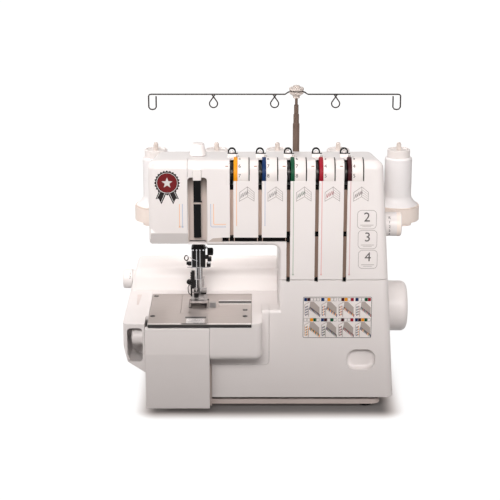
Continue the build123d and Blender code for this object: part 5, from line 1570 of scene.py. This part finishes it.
@dataclass
class SideDials:
    """Figures on the side dials, the stitch dial's end band, and the boss behind the differential dial."""

    figure_height: float = 3.4
    first_turn: float = 46.0
    turn_step: float = 22.0
    length_inset: float = 14.6
    ratio_inset: float = 9.0
    band_start: float = 6.0
    band_end: float = 1.4
    band_proud: float = 0.06
    band_wall: float = 1.0
    boss_inset: float = 0.8
    boss_length: float = 6.0

    def build(self) -> None:
        """Make the dials' details."""
        length_dial = DATUM.box("stitch_length_dial")
        ratio_dial = DATUM.box("differential_dial")
        self.rim("stitch_length_dial", "length_dial", length_dial.hi.x - self.length_inset, "R1234")
        self.rim("differential_dial", "feed_ratio_dial", ratio_dial.lo.x + self.ratio_inset, "12")
        self.end_band(length_dial)
        self.boss(ratio_dial)

    def rim(self, node: str, body: str, along: float, marks: str) -> None:
        """Figures around a dial's rim.

        Args:
            node: the dial's node.
            body: the body that carries it.
            along: x of the figures.
            marks: the figures in order.
        """
        box = DATUM.box(node)
        shape = Shape()
        for index, mark in enumerate(marks):
            turn = self.first_turn - self.turn_step * index
            shape.text(mark, self.figure_height, rim_place(box, along, turn))
        shape.piece(f"{node}_figures", body, "dial_white", INK_DARK)

    def end_band(self, box: Box) -> None:
        """Cream cap band near the stitch dial's end."""
        radius = box.size.z / 2
        profile = straight(box.hi.x - self.band_start, box.hi.x - self.band_end, radius + self.band_proud,
                           radius - self.band_wall)
        band = Shape().lathe(profile, Axis.X, (box.centre.y, box.centre.z), 72, True)
        band.piece("stitch_dial_band", "length_dial", "dial_white", CREAM)

    def boss(self, box: Box) -> None:
        """Rounded boss between the leaning wall and the differential dial."""
        radius = box.size.z / 2 - self.boss_inset
        wall = DATUM.box("rear_bed_cover").lo.x
        outline = arc((box.centre.y, box.centre.z), radius, 0, 180, 24)
        boss = Shape().prism(outline, Axis.X, wall, wall + self.boss_length)
        boss.piece("differential_boss", "body", "white_cover", WHITE)


@dataclass
class SpoolRack:
    """Five wound spools with plastic flanges."""

    flange_height: float = 9.6
    slim: float = 17.2
    flare_height: float = 13.0
    cap: float = 14.4
    ridge: float = 1.1
    ridge_depth: float = 0.16
    core: float = 3.4
    foot_height: float = 1.2
    shoulder_span: float = 2.5
    shoulder_drop: float = 2.4
    strand: float = 0.22
    strand_low: float = 18.0
    strand_rise: float = 12.0
    strand_chords: int = 40
    strand_body: float = 62.0

    def build(self) -> None:
        """Make every spool."""
        for number in UNITS:
            self.spool(number)

    def spool(self, number: int) -> None:
        """Wound thread over a plastic cone.

        Args:
            number: number of the spool, from the left.
        """
        box = DATUM.box(f"thread_spool_{number}")
        centre = (box.centre.x, box.centre.y)
        wide = box.size.x / 2
        low = box.lo.z
        high = box.hi.z
        shoulder = high - self.flange_height
        body = f"spool_{number}"
        base = low + self.foot_height
        wound = [(base, self.core)]
        rows = int((shoulder - low - self.foot_height) / self.ridge * 2)
        for row in range(rows + 1):
            height = self.foot_height + row * self.ridge / 2
            dip = self.ridge_depth if row % 2 else 0.0
            wound.append((low + height, self.thread_radius(height, wide, shoulder - low) - dip))
        wound.append((shoulder, self.core))
        thread = Shape().lathe(wound, Axis.Z, centre, 64, True)
        made = thread.piece(f"wound_thread_{number}", body, "thread_white", THREAD_WHITE, 60.0)
        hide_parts(f"thread_spool_{number}")
        cap = self.cap
        flange = [(shoulder, self.core), (shoulder, cap - 0.3), (shoulder + 0.4, cap), (high - 0.8, cap),
                  (high, cap - 0.8), (high, cap - 2.4), (high - 1.2, cap - 2.8), (high - 1.2, self.core)]
        top = Shape().lathe(flange, Axis.Z, centre, 64, True)
        top.piece(f"spool_flange_{number}", body, "pin_plastic", DIAL_WHITE)
        rim = [(low, self.core), (low, wide - 0.4), (low + 0.5, wide), (base, wide - 0.2), (base, self.core)]
        foot = Shape().lathe(rim, Axis.Z, centre, 64, True)
        foot.piece(f"spool_foot_{number}", body, "pin_plastic", CREAM)
        self.loose_turn(number, body, centre, low, wide)

    def thread_radius(self, height: float, wide: float, full: float) -> float:
        """Radius of the wound body at a height above its foot."""
        flare = max(0.0, 1.0 - height / self.flare_height)
        top = max(0.0, 1.0 - (full - height) / self.shoulder_span)
        return self.slim + (wide - 0.3 - self.slim) * flare ** 1.6 - self.shoulder_drop * top ** 2

    def loose_turn(self, number: int, body: str, centre: Point2, low: float, wide: float) -> None:
        """One strand that crosses the wound body on a slant."""
        line = []
        for i in range(self.strand_chords + 1):
            share = i / self.strand_chords
            turn = 2 * math.pi * (0.55 + 0.16 * number) + math.pi * 1.5 * share
            height = self.strand_low + self.strand_rise * share
            reach = self.thread_radius(height, wide, self.strand_body) + 0.15
            x = centre[0] + reach * math.cos(turn)
            line.append((x, centre[1] + reach * math.sin(turn), low + height))
        strand = Shape().tube(line, self.strand, 6)
        strand.piece(f"loose_turn_{number}", body, "thread_white", THREAD_WHITE)


@dataclass
class ThreadMast:
    """Cream hub and dark wire with its thread eyes on the mast, and the collar at the mast's foot."""

    wire_radius: float = 0.95
    eye_width: float = 10.2
    eye_drop: float = 17.0
    hook_width: float = 9.4
    hook_drop: float = 19.5
    hub_radius: float = 9.4
    hub_stub: float = 4.3
    neck: float = 5.9
    stem_radius: float = 1.8
    stem_drop: float = 34.0
    wire_drop: float = 11.5
    collar_gap: float = 0.05
    collar_low: float = 246.5
    collar_high: float = 252.5
    collar_radius: float = 5.4

    def build(self) -> None:
        """Make the hub, the wire and the collar."""
        box = DATUM.box("thread_guide_wire")
        mast = DATUM.box("mast_lower")
        middle = mast.centre
        made = self.wire(box, middle, box.hi.z - self.wire_drop)
        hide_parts("thread_guide_wire")
        self.hub(box.hi.z, middle)
        bore = mast.size.x / 2 + self.collar_gap
        ring = straight(self.collar_low, self.collar_high, self.collar_radius, bore)
        collar = Shape().lathe(ring, Axis.Z, (middle.x, middle.y), 40, True)
        collar.piece("mast_collar", "body", "white_cover", DIAL_WHITE)

    def hub(self, top: float, middle: Vector) -> None:
        """Capped cream hub with a dark neck for the wire, on a short stem.

        Args:
            top: height of the hub's top.
            middle: the mast's middle.
        """
        wide = self.hub_radius
        slim = self.hub_stub
        centre = (middle.x, middle.y)
        cap = [(top - 6.4, 0.0), (top - 6.4, wide - 0.6), (top - 5.6, wide), (top - 3.6, wide),
               (top - 2.7, wide - 1.0), (top - 2.6, slim + 0.4), (top - 2.2, slim), (top - 0.7, slim),
               (top, slim - 0.8), (top, 0.0)]
        funnel = [(top - 16.2, 0.0), (top - 16.2, slim - 0.4), (top - 15.8, slim), (top - 13.6, slim),
                  (top - 11.2, wide - 1.6), (top - 10.2, wide - 0.5), (top - 8.4, wide - 0.5),
                  (top - 7.9, wide - 1.1), (top - 7.9, 0.0)]
        hub = Shape().lathe(cap, Axis.Z, centre, 64)
        hub.lathe(funnel, Axis.Z, centre, 64)
        hub.piece("guide_hub", "thread_guide", "white_cover", PIN)
        neck = Shape().lathe(straight(top - 8.2, top - 6.1, self.neck), Axis.Z, centre, 48)
        neck.piece("guide_neck", "thread_guide", "black_metal", BLACK_METAL)
        stem = Shape().lathe(straight(top - self.stem_drop, top - 15.9, self.stem_radius), Axis.Z, centre, 24)
        stem.piece("guide_stem", "thread_guide", "mast_bronze", MAST)

    def wire(self, box: Box, middle: Vector, level: float) -> bpy.types.Object:
        """Long wire through the hub, with an open hook at each end and three drop-shaped eyes.

        Args:
            box: the guide's box.
            middle: the mast's middle.
            level: height of the wire.

        Returns:
            The finished piece.
        """
        shape = Shape()
        radius = self.wire_radius
        y = middle.y
        left = box.lo.x + radius + 0.3
        right = box.hi.x - radius - 0.3
        pitch = (right - left - self.hook_width) / 4
        for start, sign in ((left, 1.0), (right, -1.0)):
            wide = self.hook_width * sign
            low = level - self.hook_drop
            hook = [(start + wide, level - 2.4), (start + wide, low + 3.0), (start + wide * 0.8, low + 0.6),
                    (start + wide * 0.5, low), (start + wide * 0.2, low + 0.6), (start, low + 3.0),
                    (start, level - 2.0), (start + wide * 0.12, level - 0.4), (start + wide * 0.35, level)]
            rise = [(middle.x - sign * 14.5, level), (middle.x - sign * 10.5, level + 2.6),
                    (middle.x - sign * 7.0, level + 4.2), (middle.x, level + 4.3)]
            shape.tube([(x, y, z) for x, z in hook + rise], radius)
        first = left + self.hook_width / 2
        half = self.eye_width / 2
        bend = arc((0.0, level - self.eye_drop + half), half, 25.0, -205.0, 16)
        eye = [(-2.4, level + 0.3), *bend, (2.4, level + 0.3)]
        for index in (1, 2, 3):
            x = first + pitch * index
            shape.tube([(x + px, y, z) for px, z in eye], radius * 0.9)
        return shape.piece("guide_wire", "thread_guide", "black_metal", WIRE)


@dataclass
class ThreadGuides:
    """Arched guides on the top: white foot, black arch, domed screw and a tail plate."""

    arch_outer: float = 4.7
    arch_inner: float = 3.1
    arch_rise: float = 1.6
    foot_height: float = 5.6
    dome_radius: float = 1.8

    def build(self) -> None:
        """Make the pieces of each guide."""
        feet = Shape()
        arches = Shape()
        domes = Shape()
        plates = Shape()
        for box in DATUM.islands("thread_guides"):
            x = box.centre.x
            low = box.lo.z
            spring = low + self.foot_height
            front = box.lo.y
            outer = self.arch_outer
            inner = self.arch_inner
            crown = (x, spring + self.arch_rise)
            feet.block((x - outer, front, low), (x + outer, box.hi.y, spring), 0.5)
            outline = [(x + outer, spring), *arc(crown, outer, 0, 180, 16), (x - outer, spring),
                       (x - inner, spring), *arc(crown, inner, 180, 0, 16), (x + inner, spring)]
            arches.prism(outline, Axis.Y, front + 0.4, box.hi.y - 0.4)
            arches.block((x - outer - 0.3, front - 0.3, spring - 0.7),
                         (x + outer + 2.2, front + 0.9, spring + 0.3), 0.2)
            radius = self.dome_radius
            dome = [(spring, 0.0), (spring, radius), (spring + 1.6, radius), (spring + 2.6, radius * 0.7),
                    (spring + 3.1, 0.0)]
            domes.lathe(dome, Axis.Z, (x, box.centre.y), 24)
            edge = x + outer
            plates.block((edge - 0.4, front + 0.4, low + 1.2), (edge + 3.2, box.hi.y, low + 2.4), 0.25)
        made = arches.piece("guide_arches", "body", "black_metal", BLACK_METAL)
        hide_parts("thread_guides")
        feet.piece("guide_feet", "body", "white_cover", DIAL_WHITE)
        domes.piece("guide_domes", "body", "bright_chrome", DIAL_WHITE)
        plates.piece("guide_plates", "body", "plate_steel", STEEL)


@dataclass
class RearFittings:
    """Inlet pins, and vents and a plain plate on the back."""

    pin_radius: float = 1.1
    pin_y: float = 14.9
    pin_start: float = 14.8
    pin_end: float = 3.8
    vent_place: Point2 = (104.0, 46.0)
    vent_rows: int = 7
    vent_pitch: float = 6.0
    vent_size: Point2 = (46.0, 2.4)
    vent_corner: float = 1.15
    plate_place: Point2 = (104.0, 112.0)
    plate_size: Point2 = (44.0, 22.0)
    plate_corner: float = 2.0
    plate_proud: float = 0.5

    pins = ((-4.5, 3.0), (4.5, 3.0), (0.0, -4.0))

    def build(self) -> None:
        """Make the inlet's pins and the back's details."""
        inlet = DATUM.box("power_inlet")
        start = inlet.hi.x - self.pin_start
        end = inlet.hi.x - self.pin_end
        profile = [(start, 0.0), (start, self.pin_radius), (end - 0.7, self.pin_radius), (end, 0.4),
                   (end, 0.0)]
        pins = Shape()
        for dy, dz in self.pins:
            pins.lathe(profile, Axis.X, (inlet.lo.y + self.pin_y + dy, inlet.centre.z + dz), 18)
        pins.piece("inlet_pins", "body", "bright_chrome", CHROME)
        self.vents()

    def vents(self) -> None:
        """Rows of dark vent slots low on the back as black patches of painted shade, and a plain plate above
        them.
        """
        back = DATUM.box("rear_cover").hi.y
        x, low = self.vent_place
        vents = Shape()
        for row in range(self.vent_rows):
            outline = rounded((x, low + self.vent_pitch * row), *self.vent_size, self.vent_corner)
            vents.prism(outline, Axis.Y, back - INK_DEPTH, back + INK_PROUD)
        vents.piece("rear_vents", "body", "white_cover", SHADE_BLACK)
        outline = rounded(self.plate_place, *self.plate_size, self.plate_corner)
        plate = Shape().prism(outline, Axis.Y, back - 0.1, back + self.plate_proud)
        plate.piece("rear_plate", "body", "plate_steel", BRIGHT_STEEL)


@dataclass(frozen=True)
class Lamp:
    """Rectangular soft light, in row metres and watts, with the degrees over which it shines."""

    name: str
    place: Point3
    target: Point3
    size: Point2
    power: float
    spread: float = 180.0
    tint: Colour = (1.0, 0.965, 0.95)

    def build(self) -> None:
        """Make the light and turn it to its target."""
        data = bpy.data.lights.new(self.name, "AREA")
        data.spread = math.radians(self.spread)
        data.shape = "RECTANGLE"
        data.size = self.size[0]
        data.size_y = self.size[1]
        data.energy = self.power
        data.color = self.tint
        lamp = bpy.data.objects.new(self.name, data)
        lamp.location = self.place
        way = Vector(self.target) - Vector(self.place)
        lamp.rotation_euler = way.to_track_quat("-Z", "Y").to_euler()
        bpy.context.scene.collection.objects.link(lamp)


@dataclass
class Studio:
    """Camera, floor, soft light and white surround."""

    camera_place: Point3 = (0.0, -1624.0, 676.0)
    camera_tilt: float = 16.5
    lens: float = 108.0
    sensor: float = 36.0
    floor_half: float = 6.0
    floor_shade: float = 0.22
    glow: Point2 = (0.9, 1.0)
    glow_span: Point2 = (0.25, 0.9)
    shade_tint: Colour = (1.0, 0.84, 0.78)
    shade_depth: float = 0.05
    shade_reach: float = 0.032
    world_tint: Colour = (1.0, 0.85, 0.79)
    world_light: float = 0.2
    arm_place: Point3 = (-42.0, 168.0, 198.5)
    arm_target: Point3 = (-42.0, 172.0, 120.0)

    white = (1.0, 1.0, 1.0)
    lamps = (
        Lamp("key_light", (-0.05, -0.85, 0.62), (0.0, -0.05, 0.25), (1.1, 0.25), 1.38, 52.0),
        Lamp("fill_light", (0.95, -0.6, 0.45), (0.12, 0.0, 0.18), (0.5, 0.5), 0.7, 120.0),
        Lamp("top_light", (-0.25, 0.1, 1.6), (-0.05, 0.0, 0.2), (1.2, 1.2), 6.8),
        Lamp("side_light", (-0.9, 0.05, 0.55), (-0.15, 0.0, 0.12), (0.5, 0.5), 0.95, 90.0),
    )

    def build(self) -> None:
        """Set the stage."""
        self.camera()
        self.floor()
        self.world()
        place, target = (tuple(DATUM.row(Vector(point))) for point in (self.arm_place, self.arm_target))
        for lamp in (*self.lamps, Lamp("under_arm_light", place, target, (0.13, 0.06), 0.055)):
            lamp.build()
        bpy.context.scene.view_settings.view_transform = "Standard"

    def camera(self) -> None:
        """Camera at the photograph's viewing angle."""
        data = bpy.data.cameras.new("camera")
        data.lens = self.lens
        data.sensor_width = self.sensor
        data.dof.use_dof = False
        view = bpy.data.objects.new("camera", data)
        view.location = DATUM.row(Vector(self.camera_place))
        view.rotation_euler = (math.radians(90.0 - self.camera_tilt), 0.0, 0.0)
        bpy.context.scene.collection.objects.link(view)
        bpy.context.scene.camera = view

    def floor(self) -> None:
        """Pale floor that keeps the machine's shadow and is white further off, with a painted warm shadow
        under the base.
        """
        mesh = bpy.data.meshes.new("floor")
        half = self.floor_half
        corners = [(-half, -half, 0), (half, -half, 0), (half, half, 0), (-half, half, 0)]
        mesh.from_pydata(corners, [], [(0, 1, 2, 3)])
        floor = bpy.data.objects.new("floor", mesh)
        bpy.context.scene.collection.objects.link(floor)
        material = bpy.data.materials.new("floor_paper")
        material.use_nodes = True
        material.cycles.emission_sampling = "NONE"
        graph = Graph(material.node_tree)
        place = graph.add("ShaderNodeTexCoord").outputs["Object"]
        reach = graph.join("ShaderNodeVectorMath", place, operation="LENGTH")
        rise = graph.ranged(reach, self.glow_span, self.glow, True)
        # Painted shadow: the floor's glow is cut and tinted warm under and near the base.
        share = self.beside(graph, place)
        shaded = graph.join("ShaderNodeMath", rise, share, operation="MULTIPLY")
        strength = graph.join("ShaderNodeMath", shaded, self.seen(graph), operation="MULTIPLY")
        colour = graph.mixed(share, self.shade_tint, self.white)
        shade = self.floor_shade
        paper = graph.add("ShaderNodeBsdfDiffuse", Color=(shade, shade, shade, 1.0)).outputs[0]
        glow = graph.add("ShaderNodeEmission", Color=colour, Strength=strength).outputs[0]
        graph.add("ShaderNodeOutputMaterial", Surface=graph.join("ShaderNodeAddShader", paper, glow))
        mesh.materials.append(material)

    def beside(self, graph: Graph, place: Socket) -> Socket:
        """Share of the floor's glow, a painted shadow: low under the base, and full a little way outside it.

        Args:
            graph: the floor's nodes.
            place: point of the floor.

        Returns:
            The share's socket.
        """
        base = DATUM.box("base_tub")
        middle = DATUM.row(base.centre)
        half = base.size * MM / 2
        kind = "ShaderNodeVectorMath"
        moved = graph.join(kind, place, (middle.x, middle.y, 0.0), operation="SUBTRACT")
        mirrored = graph.join(kind, moved, operation="ABSOLUTE")
        beyond = graph.join(kind, mirrored, (half.x, half.y, 0.0), operation="SUBTRACT")
        kept = graph.join(kind, beyond, operation="MAXIMUM")
        reach = graph.join(kind, kept, operation="LENGTH")
        return graph.ranged(reach, (0.0, self.shade_reach), (self.shade_depth, 1.0), True)

    def seen(self, graph: Graph) -> Socket:
        """1 for rays that show the surround, and 0 for the rest."""
        kind = "ShaderNodeMath"
        rays = graph.add("ShaderNodeLightPath").outputs
        shown = graph.join(kind, rays["Is Camera Ray"], rays["Is Glossy Ray"], operation="MAXIMUM")
        return graph.join(kind, shown, rays["Is Transmission Ray"], operation="MAXIMUM")

    def world(self) -> None:
        """White surround for the eye, dimmer for the light."""
        world = bpy.data.worlds.new("studio")
        world.use_nodes = True
        bpy.context.scene.world = world
        graph = Graph(world.node_tree)
        light = graph.add("ShaderNodeBackground", Color=(*self.world_tint, 1.0), Strength=self.world_light)
        white = graph.add("ShaderNodeBackground", Color=(*self.white, 1.0), Strength=1.0)
        both = graph.join("ShaderNodeMixShader", self.seen(graph), light.outputs[0], white.outputs[0])
        graph.add("ShaderNodeOutputWorld", Surface=both)


def main() -> None:
    """Build the sub-assemblies in order."""
    logging.basicConfig(level=logging.INFO, format="%(name)s: %(message)s")
    slots = thread_slots()
    dress_nodes()
    parts: Iterable[object] = (
        Studio(), TensionUnits(slots), ThreadChannel(), FrontPrints(slots), StitchChart(), PlateDetails(),
        NeedleHead(), Screws(), SideDials(), SpoolRack(), ThreadMast(), ThreadGuides(), RearFittings(),
    )
    for part in parts:
        LOG.info("building %s", type(part).__name__)
        part.build()


if __name__ == "__main__":
    main()
